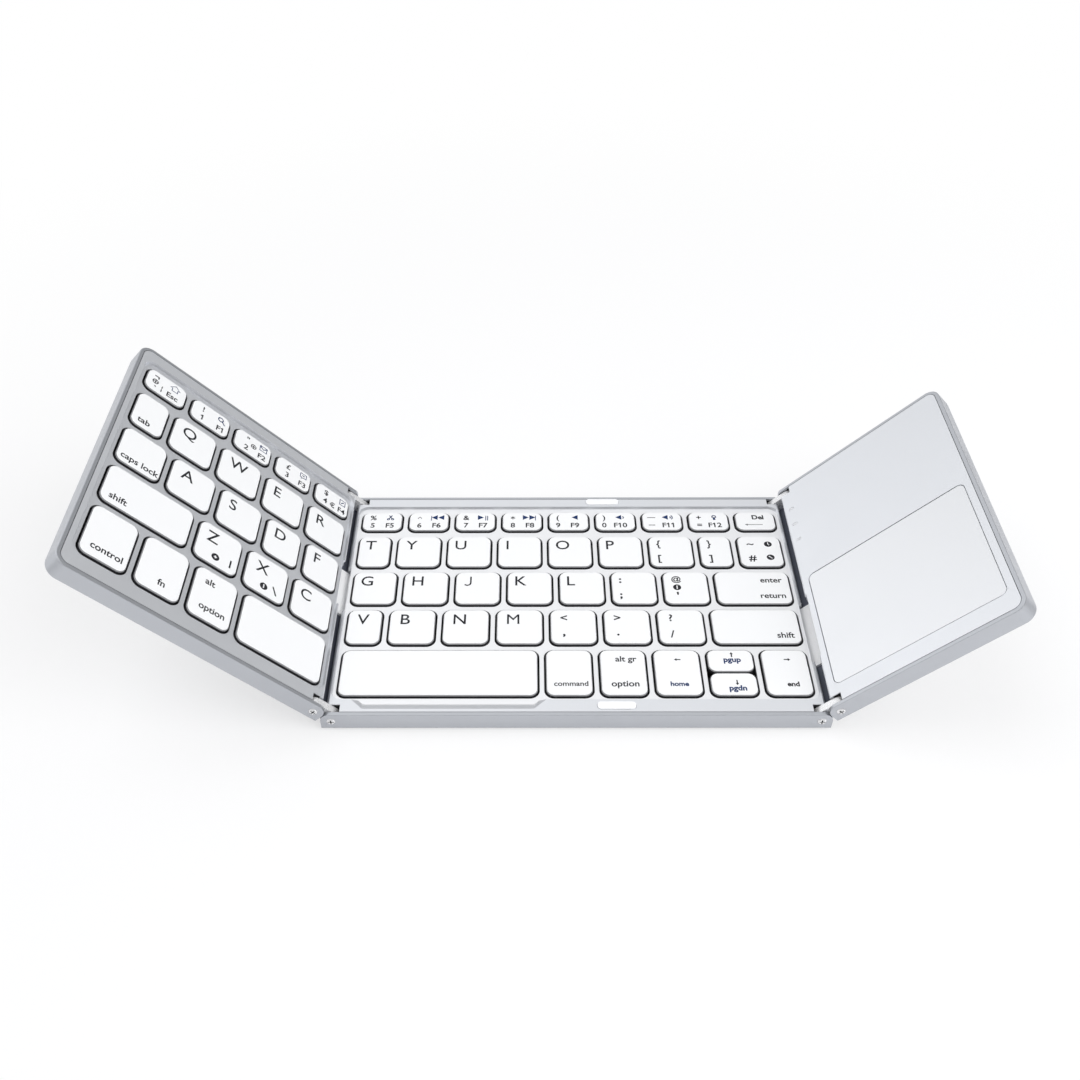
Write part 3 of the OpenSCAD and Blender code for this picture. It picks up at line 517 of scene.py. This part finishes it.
def ring(width, depth, radius, inset):
    """The outline of a rounded rectangle about its middle, drawn in by inset."""
    points = []
    radius = max(radius - inset, LEAST_RADIUS)
    for quarter, (sx, sy) in enumerate(((1, 1), (-1, 1), (-1, -1), (1, -1))):
        cx = sx * (width / 2 - inset - radius)
        cy = sy * (depth / 2 - inset - radius)
        for step in range(CORNER_STEPS + 1):
            angle = math.radians(90 * (quarter + step / CORNER_STEPS))
            points.append((cx + radius * math.cos(angle), cy + radius * math.sin(angle)))
    return points


def cap_profile(bottom, top):
    """A keycap's section as (inset, height) from the skirt to the flat of the top."""
    lean = math.atan2(CAP_LEAN, CAP_SHOULDER)
    profile = [(0, bottom), (0, top - CAP_SHOULDER),
               (CAP_LEAN * (1 - BAND_LOW / CAP_SHOULDER), top - BAND_LOW)]
    for step in range(EDGE_STEPS + 1):
        angle = lean + (math.pi / 2 - lean) * step / EDGE_STEPS
        profile.append((CAP_LEAN - EDGE_ROUND * (math.cos(angle) - math.cos(lean)),
                        top - EDGE_ROUND * (1 - math.sin(angle))))
    return profile


def add_cap(bm, low, high):
    """Adds one keycap that fills the box from low to high, with its side band and skirt in painted
    shade.
    """
    width, depth = high.x - low.x, high.y - low.y
    middle = (low + high) / 2
    rings = []
    for inset, height in cap_profile(low.z, high.z):
        rings.append([bm.verts.new((middle.x + x, middle.y + y, height))
                      for x, y in ring(width, depth, KEY_RADIUS, inset)])
    for row, (lower, upper) in enumerate(zip(rings, rings[1:])):
        for i in range(len(lower)):
            j = (i + 1) % len(lower)
            face = bm.faces.new((lower[i], lower[j], upper[j], upper[i]))
            face.smooth = True
            face.material_index = SIDE_ROWS[min(row, len(SIDE_ROWS) - 1)]
    bm.faces.new(rings[-1])
    bm.faces.new(reversed(rings[0])).material_index = PAINTED_SHADE_SKIRT


def solids(node, panel):
    """The boxes of a node's separate solids in its panel's frame, back row first, left to right."""
    bm = bmesh.new()
    bm.from_mesh(NODES[node].data)
    bm.transform(PANELS[panel].inverted())
    bmesh.ops.remove_doubles(bm, verts=bm.verts, dist=WELD_GAP)
    boxes = []
    waiting = set(bm.verts)
    while waiting:
        front = [waiting.pop()]
        island = []
        while front:
            vert = front.pop()
            island.append(vert.co.copy())
            for edge in vert.link_edges:
                other = edge.other_vert(vert)
                if other in waiting:
                    waiting.remove(other)
                    front.append(other)
        low = Vector(min(co[i] for co in island) for i in range(3))
        high = Vector(max(co[i] for co in island) for i in range(3))
        boxes.append((low, high))
    bm.free()
    return sorted(boxes, key=lambda b: (-round(b[1].y / MM), b[0].x))


KEY_NODES = [node for node in NODES if node.startswith("key_") or node.endswith(("_keys", "_key"))]
KEY_PANEL = {node: JOINTS[node + "_press"]["parent"] for node in KEY_NODES}
KEY_BOXES = {node: solids(node, KEY_PANEL[node]) for node in KEY_NODES}


def make_caps():
    """Rebuilds the keycaps of every key node."""
    for node in KEY_NODES:
        bm = bmesh.new()
        for low, high in KEY_BOXES[node]:
            add_cap(bm, low, high)
        new_piece(node + "_caps", bm, CAP_FINISHES, KEY_PANEL[node], NODE_BODY[node],
                  replaced=[node])


# Hinge details: distances from a pivot's axis along its panel, from the middle to the front or the
# back, and over the panel's underside

EDGE_REACH = 1.3 * MM
NOTCH_REACH = 2.65 * MM
NOTCH_INNER = 45.0 * MM
NOTCH_OUTER = 47.85 * MM
NOTCH_FLOOR = 0.65 * MM
NOTCH_TOP = 6.1 * MM
# The thickness of the dark sheets of painted shade in the notches and the screws' recesses
SHADE_SHEET = 0.05 * MM
HAIR = 0.01 * MM
EAR_FLAT = 1.5 * MM
EAR_FLAT_TOP = 5.6 * MM
SCREW_FACE = 49.25 * MM
RECESS_LENGTH = 1.7 * MM
RECESS_WIDTH = 0.42 * MM
RECESS_DEPTH = 0.4 * MM
# The lips, along a link from its inner pivot and over the plane of its two pivots
PIVOT_SPACING = 6.6 * MM
LIP_REACH = 1.35 * MM
LIP_ROOT = 1.75 * MM
LIP_TOP = -1.6 * MM
LIP_BOTTOM = -1.75 * MM
BOX_FACES = ((0, 1, 3, 2), (4, 6, 7, 5), (0, 4, 5, 1), (2, 3, 7, 6), (0, 2, 6, 4), (1, 5, 7, 3))


def add_box(bm, low, high):
    """Adds a plain box between two corners, given in any order."""
    low, high = ([pick(a, b) for a, b in zip(low, high)] for pick in (min, max))
    corners = [bm.verts.new((x, y, z)) for x in (low[0], high[0]) for y in (low[1], high[1])
               for z in (low[2], high[2])]
    for face in BOX_FACES:
        bm.faces.new([corners[i] for i in face])


def add_notch_painted_shade(bm, pivot_x, way, end):
    """Dark sheets of painted shade in a link's notch: floor, end and inner side, and the ear's
    inside.
    """
    def box(x0, x1, y0, y1, z0, z1):
        add_box(bm, (pivot_x + way * x0, end * y0, z0), (pivot_x + way * x1, end * y1, z1))

    inner, outer = NOTCH_INNER + HAIR, NOTCH_OUTER - HAIR
    far, floor = NOTCH_REACH - HAIR, NOTCH_FLOOR + HAIR
    box(HAIR - EDGE_REACH, far, inner, outer, floor, floor + SHADE_SHEET)
    box(far - SHADE_SHEET, far, inner, outer, floor, NOTCH_TOP)
    box(-HAIR, far, inner, inner + SHADE_SHEET, floor, NOTCH_TOP)
    box(-EAR_FLAT, far, outer - SHADE_SHEET, outer, floor, EAR_FLAT_TOP)


def add_screw_painted_shade(bm, pivot_x, end):
    """A dark cross of painted shade at the bottom of a screw's recess."""
    bottom = SCREW_FACE - RECESS_DEPTH + HAIR
    for length, width in ((RECESS_LENGTH, RECESS_WIDTH), (RECESS_WIDTH, RECESS_LENGTH)):
        x, z = length / 2 - HAIR, width / 2 - HAIR
        add_box(bm, (pivot_x - x, end * bottom, PIVOT_HEIGHT - z),
                (pivot_x + x, end * (bottom + SHADE_SHEET), PIVOT_HEIGHT + z))


def make_hinge_details():
    """The painted shade in the link notches and the screws' crosses, for each panel."""
    pin_x = JOINTS["right_link_hinge"]["pos_m"][0]
    pivots = {
        "centre": ((-pin_x, 1), (pin_x, -1)),
        "left_wing": ((0, -1),),
        "right_wing": ((0, 1),),
    }
    for panel, places in pivots.items():
        notch_sheets, screw_crosses = bmesh.new(), bmesh.new()
        for pivot_x, way in places:
            for end in (-1, 1):
                add_notch_painted_shade(notch_sheets, pivot_x, way, end)
                add_screw_painted_shade(screw_crosses, pivot_x, end)
        for ending, bm in (("_notch_lining", notch_sheets), ("_screw_recesses", screw_crosses)):
            bmesh.ops.recalc_face_normals(bm, faces=bm.faces)
            new_piece(panel + ending, bm, ["key_skirt"], panel, panel)


def make_spine_lips():
    """A lip along each long edge of a hinge spine, which closes the slit beside it."""
    for side, way in (("left", -1), ("right", 1)):
        spine, link = side + "_hinge_spine", side + "_link"
        bm = bmesh.new()
        for low, high in solids(spine, link):
            for x0, x1 in ((LIP_REACH, LIP_ROOT),
                           (PIVOT_SPACING - LIP_ROOT, PIVOT_SPACING - LIP_REACH)):
                add_box(bm, (way * x0, low.y, LIP_BOTTOM), (way * x1, high.y, LIP_TOP))
        bmesh.ops.recalc_face_normals(bm, faces=bm.faces)
        new_piece(side + "_spine_lips", bm, ["spine_plastic"], link, NODE_BODY[spine])


# Legends: heights are those of a capital in millimetres, and weights thicken lettering by that part
# of an em

INK_THICKNESS = 0.02 * MM
LETTER_HEIGHT = 4.15
MARK_HEIGHT = 2.2
SIGN_HEIGHT = 2.8
WORD_HEIGHT = 2.2
PLAY_SIGN_HEIGHT = 1.7
WORD_WEIGHT = 0.018
LETTER_WEIGHT = 0.006
MARK_WEIGHT = 0.019
BOLD = 0.034
BLUE = "blue"
WHITE = "white"
TEXT_DEPTH = 0.5
TEXT_STEPS = 4
# The flag of a one: where it leaves the stem, its reach and the height of its end, in capitals
FLAG_TOP = 0.93
FLAG_REACH = 0.3
FLAG_END = 0.72


def curve_to_mesh(data):
    """The mesh of a curve or a text, whose own data is deleted."""
    drawn = bpy.data.objects.new("drawn", data)
    bpy.context.scene.collection.objects.link(drawn)
    bpy.context.view_layer.update()
    graph = bpy.context.evaluated_depsgraph_get()
    mesh = bpy.data.meshes.new_from_object(drawn.evaluated_get(graph))
    bpy.data.objects.remove(drawn)
    bpy.data.curves.remove(data)
    return mesh


def text_mesh(text, weight=0.0):
    """Lettering one unit to the em, in the plane, with its left end near x = 0."""
    data = bpy.data.curves.new("lettering", "FONT")
    data.body = text
    data.size = 1.0
    data.resolution_u = TEXT_STEPS
    data.offset = weight
    data.extrude = TEXT_DEPTH
    return curve_to_mesh(data)


def stroke_mesh(paths, width):
    """Round-ended strokes in the plane: each path is its points and whether it is closed."""
    data = bpy.data.curves.new("strokes", "CURVE")
    data.dimensions = "3D"
    data.bevel_depth = width / 2
    data.bevel_resolution = 1
    data.use_fill_caps = True
    for points, closed in paths:
        spline = data.splines.new("POLY")
        spline.points.add(len(points) - 1)
        for point, (x, y) in zip(spline.points, points):
            point.co = (x, y, 0, 1)
        spline.use_cyclic_u = closed
    return curve_to_mesh(data)


CAPITAL = max(v.co.y for v in text_mesh("H").vertices)
ONE_STROKE = (max(v.co.x for v in text_mesh("1").vertices)
              - min(v.co.x for v in text_mesh("1").vertices))


def lettering(text, weight):
    """Lettering in which every one has a flag. The font draws it as a plain stem."""
    bm = bmesh.new()
    bm.from_mesh(text_mesh(text, weight))
    bar = ONE_STROKE + 2 * weight
    for i, character in enumerate(text):
        if character == "1":
            x = max(v.co.x for v in text_mesh(text[:i + 1], weight).vertices) - bar / 2
            end = (x - FLAG_REACH * CAPITAL, FLAG_END * CAPITAL)
            flag = stroke_mesh([([(x, FLAG_TOP * CAPITAL), end], False)], bar)
            flag.transform(Matrix.Diagonal((1, 1, 2 * TEXT_DEPTH / bar, 1)))
            bm.from_mesh(flag)
    mesh = bpy.data.meshes.new("lettering")
    bm.to_mesh(mesh)
    bm.free()
    return mesh


def arc(x, y, radius, start=0, end=360, steps=20):
    """Points along an arc about (x, y), with its angles in degrees."""
    turns = (math.radians(start + (end - start) * i / steps) for i in range(steps + 1))
    return [(x + radius * math.cos(t), y + radius * math.sin(t)) for t in turns]


def line(*points):
    """An open stroke."""
    return points, False


def loop(*points):
    """A closed stroke."""
    return points, True


# Icons are strokes in millimetres about their own middle, and the width of the strokes
ICONS = {
    "hooked_j": ([line((1.1, 2.0), (1.1, -0.9), *arc(0, -0.9, 1.1, 0, -140, 8))], 0.52),
    "search": ([loop(*arc(-0.4, 0.4, 0.85)), line((0.25, -0.25), (1.3, -1.3))], 0.4),
    "house": ([loop((-1.7, 0.1), (0, 1.5), (1.7, 0.1), (0.95, 0.1), (0.95, -1.2), (-0.95, -1.2),
                    (-0.95, 0.1))], 0.38),
    "letter": ([loop((-1.3, -1.1), (1.3, -1.1), (1.3, 1.1), (-1.3, 1.1)),
                line((-1.3, 0.9), (0, -0.2), (1.3, 0.9))], 0.42),
    "bubble": ([loop((-1.2, -0.6), (-1.2, 1.2), (1.2, 1.2), (1.2, -0.6), (0, -0.6),
                     (-0.7, -1.3), (-0.7, -0.6)), line((-0.5, 0.3), (0.5, 0.3))], 0.4),
    "page": ([loop((-1.1, -1.2), (1.1, -1.2), (1.1, 1.2), (-1.1, 1.2)),
              line((-0.5, -0.5), (0.5, 0.5))], 0.42),
    "scissors": ([line((-0.5, 1.15), (0.5, -0.5)), line((0.5, 1.15), (-0.5, -0.5)),
                  loop(*arc(-0.72, -0.8, 0.36, steps=10)),
                  loop(*arc(0.72, -0.8, 0.36, steps=10))], 0.37),
    "globe": ([loop(*arc(0, 0, 0.9)), line((-0.8, 0), (0.8, 0)), line((0, -0.8), (0, 0.8))],
              0.32),
    "louder": ([line(*arc(0.35, 0, 0.6, -50, 50, 6)), line(*arc(0.35, 0, 1.25, -50, 50, 8))],
               0.38),
    "quieter": ([line(*arc(0.35, 0, 0.7, -50, 50, 6))], 0.4),
    "shackle": ([line((-0.6, -0.2), *arc(0, 0.35, 0.6, 180, 0, 8), (0.6, -0.2))], 0.4),
    "lock": ([line((-0.4, -0.65), (0.4, -0.65))], 1.4),
    "caret": ([line((-0.65, -0.4), (0, 0.45), (0.65, -0.4))], 0.32),
    "star": ([line((0, 0.85), (0, -0.85)), line((-0.75, 0.43), (0.75, -0.43)),
              line((0.75, 0.43), (-0.75, -0.43))], 0.28),
    "disc": ([loop(*arc(0, 0, 0.66))], 1.32),
    "clock": ([line((0, 0.85), (0, 0), (0.4, -0.5))], 0.34),
    "crossed": ([line((-0.55, 0.55), (0.55, -0.55))], 0.36),
    "split": ([line((0, 0.75), (0, -0.75))], 0.4),
    "plus": ([line((0, 0.55), (0, -0.55)), line((0.55, 0), (-0.55, 0))], 0.34),
    "bar": ([line((0, 1.5), (0, -1.5))], 0.56),
    "slope": ([line((-0.75, 1.5), (0.75, -1.5))], 0.52),
    "long_dash": ([line((1.4, 0), (-1.4, 0))], 0.3),
    "dash": ([line((1.1, 0), (-1.1, 0))], 0.34),
    "back_arrow": ([line((3.0, 0), (-3.0, 0)), loop((-2.2, 0.4), (-3.0, 0), (-2.2, -0.4))], 0.24),
    "left": ([line((1.0, 0), (-0.8, 0)), loop((-0.3, 0.38), (-0.8, 0), (-0.3, -0.38))], 0.4),
    "right": ([line((-1.0, 0), (0.8, 0)), loop((0.3, 0.38), (0.8, 0), (0.3, -0.38))], 0.4),
    "up": ([line((0, -1.0), (0, 0.8)), loop((-0.38, 0.3), (0, 0.8), (0.38, 0.3))], 0.4),
    "down": ([line((0, 1.0), (0, -0.8)), loop((-0.38, -0.3), (0, -0.8), (0.38, -0.3))], 0.4),
}


def mark(text, x, y, height=MARK_HEIGHT, ink=None, align="CENTER", weight=MARK_WEIGHT):
    """One legend: an icon's name or plain text. x is from the key's left edge, or its right edge
    where it is negative; y is from the back edge, or the front edge where it is negative, in
    millimetres. Height and weight are those of text."""
    return {"text": text, "x": x, "y": y, "height": height, "ink": ink, "align": align,
            "weight": weight}


def word(text, x, y, height=WORD_HEIGHT):
    """A key's name."""
    return mark(text, x, y, height, weight=WORD_WEIGHT)


def disc(sign, x, y):
    """A dark disc with a white sign in it."""
    return [mark("disc", x, y), mark(sign, x, y, ink=WHITE)]


# Number keys: the rows of their marks, and the columns of the signs and of the functions
UPPER_ROW = 3.0
ICON_ROW = 2.9
LOWER_ROW = 6.85
SIGN_COLUMN = 3.7
FUNCTION_COLUMN = 9.6


def number_key(upper, lower, function, *icons, left=SIGN_COLUMN, right=FUNCTION_COLUMN):
    """The marks of a number key. Its icons come with their shift from the function's column."""
    marks = [mark(upper, left, UPPER_ROW), mark(lower, left, LOWER_ROW),
             mark(function, right, LOWER_ROW)]
    return marks + [mark(icon, right + shift, ICON_ROW, PLAY_SIGN_HEIGHT, BLUE)
                    for icon, shift in icons]


# Punctuation keys: the rows of their two signs
UPPER_SIGN_ROW = 3.85
LOWER_SIGN_ROW = 10.8


def sign_key(upper, lower, x, weight=MARK_WEIGHT):
    """The marks of a punctuation key."""
    return [mark(upper, x, UPPER_SIGN_ROW, SIGN_HEIGHT, weight=weight),
            mark(lower, x, LOWER_SIGN_ROW, SIGN_HEIGHT, weight=weight)]


# Letter keys: how far in a letter starts, and how far down its middle is
CENTRE_LETTER = (2.6, 4.4)
LEFT_LETTER = (3.2, 4.8)
LETTER_INSETS = {"t": 2.35, "i": 2.9, "y": 2.8, "h": 2.85, "v": 3.0, "b": 3.6, "n": 3.35,
                 "m": 3.35, "z": 2.8, "c": 2.7}
HOOKED_J_MIDDLE = 1.3
# The letter that fills in when it is thickened
THIN_LETTER = "m"
LETTER_EXTRAS = {
    "z": [*disc("plus", 7.0, 11.5), mark("bar", 12.0, 11.0)],
    "x": [*disc("split", 7.0, 11.5), mark("slope", 10.8, 11.1)],
}


def letter_marks(node):
    """The marks of a letter's own key."""
    name = node[-1]
    inset, down = LEFT_LETTER if KEY_PANEL[node] == "left_wing" else CENTRE_LETTER
    inset = LETTER_INSETS.get(name, inset)
    if name == "j":
        return [[mark("hooked_j", inset + HOOKED_J_MIDDLE, down)]]
    weight = 0 if name == THIN_LETTER else LETTER_WEIGHT
    letter = mark(name.upper(), inset, down, LETTER_HEIGHT, align="LEFT", weight=weight)
    return [[letter, *LETTER_EXTRAS.get(name, ())]]


# The marks of each key of a node, in the order of its boxes
KEY_MARKS = {
    "left_number_keys": [
        [mark("\u00ac", 3.1, 2.6), mark("globe", 3.1, 5.0), mark("`", 3.4, 7.9),
         mark("\u00a6", 5.6, 6.3, 1.9), mark("house", 9.6, 2.9, ink=BLUE),
         mark("Esc", 9.4, 6.85, 2.1)],
        number_key("!", "1", "F1", ("search", 0), left=3.9, right=10.6),
        [*number_key('"', "2", "F2", ("letter", 0), left=4.6, right=10.6),
         mark("globe", 7.1, 4.6)],
        number_key("\u00a3", "3", "F3", ("bubble", 0), left=4.6, right=10.6),
        [*number_key("$", "4", "F4", ("page", 0), left=4.2, right=11.0),
         mark("\u20ac", 7.2, 6.85)],
    ],
    "left_edge_keys": [
        [word("tab", 4.1, -3.1)],
        [word("caps lock", 7.5, -2.9)],
        [word("shift", 5.3, -3.2)],
        [word("control", 7.5, -4.0)],
        [word("fn", 7.7, -4.2)],
        [word("alt", 5.0, 4.4), word("option", 7.5, -4.6)],
    ],
    "left_space_key": [[]],
    "centre_number_keys": [
        number_key("%", "5", "F5", ("scissors", 0)),
        number_key("caret", "6", "F6", ("\u25c0\u25c0", 0.3), ("|", -1.9)),
        number_key("&", "7", "F7", ("\u25b6", -0.9), ("||", 1.1)),
        number_key("star", "8", "F8", ("\u25b6\u25b6", -0.3), ("|", 1.9)),
        number_key("(", "9", "F9", ("\u25c0", 0), left=3.2, right=9.0),
        number_key(")", "0", "F10", ("\u25c0", -0.6), ("quieter", 0.1), left=3.0, right=8.6),
        number_key("long_dash", "dash", "F11", ("\u25c0", -0.9), ("louder", 0.1), left=3.3,
                   right=8.9),
        number_key("+", "=", "F12", ("lock", 0), ("shackle", 0), left=3.6, right=8.9),
        [mark("Del", 7.9, 2.9, 2.0, weight=BOLD), mark("back_arrow", 6.2, 6.7)],
    ],
    "punctuation_keys": [
        sign_key("{", "[", 3.3),
        sign_key("}", "]", 3.4),
        sign_key("~", "#", 4.3) + disc("clock", 10.3, 4.1) + disc("crossed", 10.3, 10.5),
        sign_key(":", ";", 3.0, BOLD),
        [mark("@", 4.4, 3.6, 2.2), *disc("split", 4.4, 7.4),
         mark("'", 4.4, 11.2, SIGN_HEIGHT, weight=BOLD)],
        [mark("<", 4.35, 3.85, SIGN_HEIGHT), mark(",", 4.35, 10.0, SIGN_HEIGHT, weight=BOLD)],
        [mark(">", 4.3, 3.85, SIGN_HEIGHT), mark(".", 4.3, 9.9, SIGN_HEIGHT, weight=BOLD)],
        sign_key("?", "/", 4.3),
    ],
    "right_edge_keys": [
        [word("enter", -5.9, 4.1), word("return", -6.2, -3.7)],
        [word("shift", -4.9, -3.6)],
    ],
    "centre_space_key": [[]],
    "navigation_keys": [
        [word("command", 7.6, -4.6, 1.8)],
        [word("alt gr", 8.1, 3.9, 2.1), word("option", 7.4, -4.6)],
        [mark("left", 7.3, 4.2), mark("home", 7.2, -4.5, 1.65, BLUE, weight=BOLD)],
        [mark("up", 7.6, 2.2), mark("pgup", 7.6, 4.2, 1.9, BLUE, weight=BOLD)],
        [mark("right", 7.9, 4.2), mark("end", 8.3, -4.4, 1.7, weight=BOLD)],
        [mark("down", 8.0, 4.0), mark("pgdn", 8.0, 6.1, 1.9, BLUE, weight=BOLD)],
    ],
}
# For each ink, the end of its pieces' names, its finish and how far it is raised
INKS = {
    None: ("_legends", "legend_ink", 0),
    BLUE: ("_blue_legends", "legend_blue_ink", 0),
    WHITE: ("_white_legends", "key_plastic", INK_THICKNESS),
}


def draw_mark(entry, low, high):
    """The mesh of one legend, in its panel's frame, half sunk in the key's top."""
    x = (low.x if entry["x"] >= 0 else high.x) + entry["x"] * MM
    y = (high.y if entry["y"] >= 0 else low.y) - entry["y"] * MM
    if entry["text"] in ICONS:
        mesh = stroke_mesh(*ICONS[entry["text"]])
        thick = max(v.co.z for v in mesh.vertices)
        scale = MM
        offset = Vector((0, 0, 0))
    else:
        mesh = lettering(entry["text"], entry["weight"])
        thick = TEXT_DEPTH
        scale = entry["height"] / CAPITAL * MM
        xs = [v.co.x for v in mesh.vertices]
        offset = Vector((-min(xs) if entry["align"] == "LEFT" else -(min(xs) + max(xs)) / 2,
                         -CAPITAL / 2, 0))
    mesh.transform(Matrix.Translation((x, y, high.z))
                   @ Matrix.Diagonal((scale, scale, INK_THICKNESS / thick, 1))
                   @ Matrix.Translation(offset))
    return mesh


def make_legends():
    """The marks of every key node, in a piece for each of its inks."""
    for node in KEY_NODES:
        marks = KEY_MARKS.get(node) or letter_marks(node)
        for ink, (ending, material, lift) in INKS.items():
            bm = bmesh.new()
            for (low, high), key_marks in zip(KEY_BOXES[node], marks, strict=True):
                for entry in key_marks:
                    if entry["ink"] == ink:
                        bm.from_mesh(draw_mark(entry, low, high))
            if bm.verts:
                bmesh.ops.translate(bm, vec=(0, 0, lift), verts=bm.verts)
                new_piece(node + ending, bm, [material], KEY_PANEL[node], NODE_BODY[node])
            else:
                bm.free()


make_camera()
make_world()
make_floor()
make_lights()
dress_cad_nodes()
make_caps()
make_hinge_details()
make_spine_lips()
make_legends()

bpy.context.scene.view_settings.view_transform = "Standard"
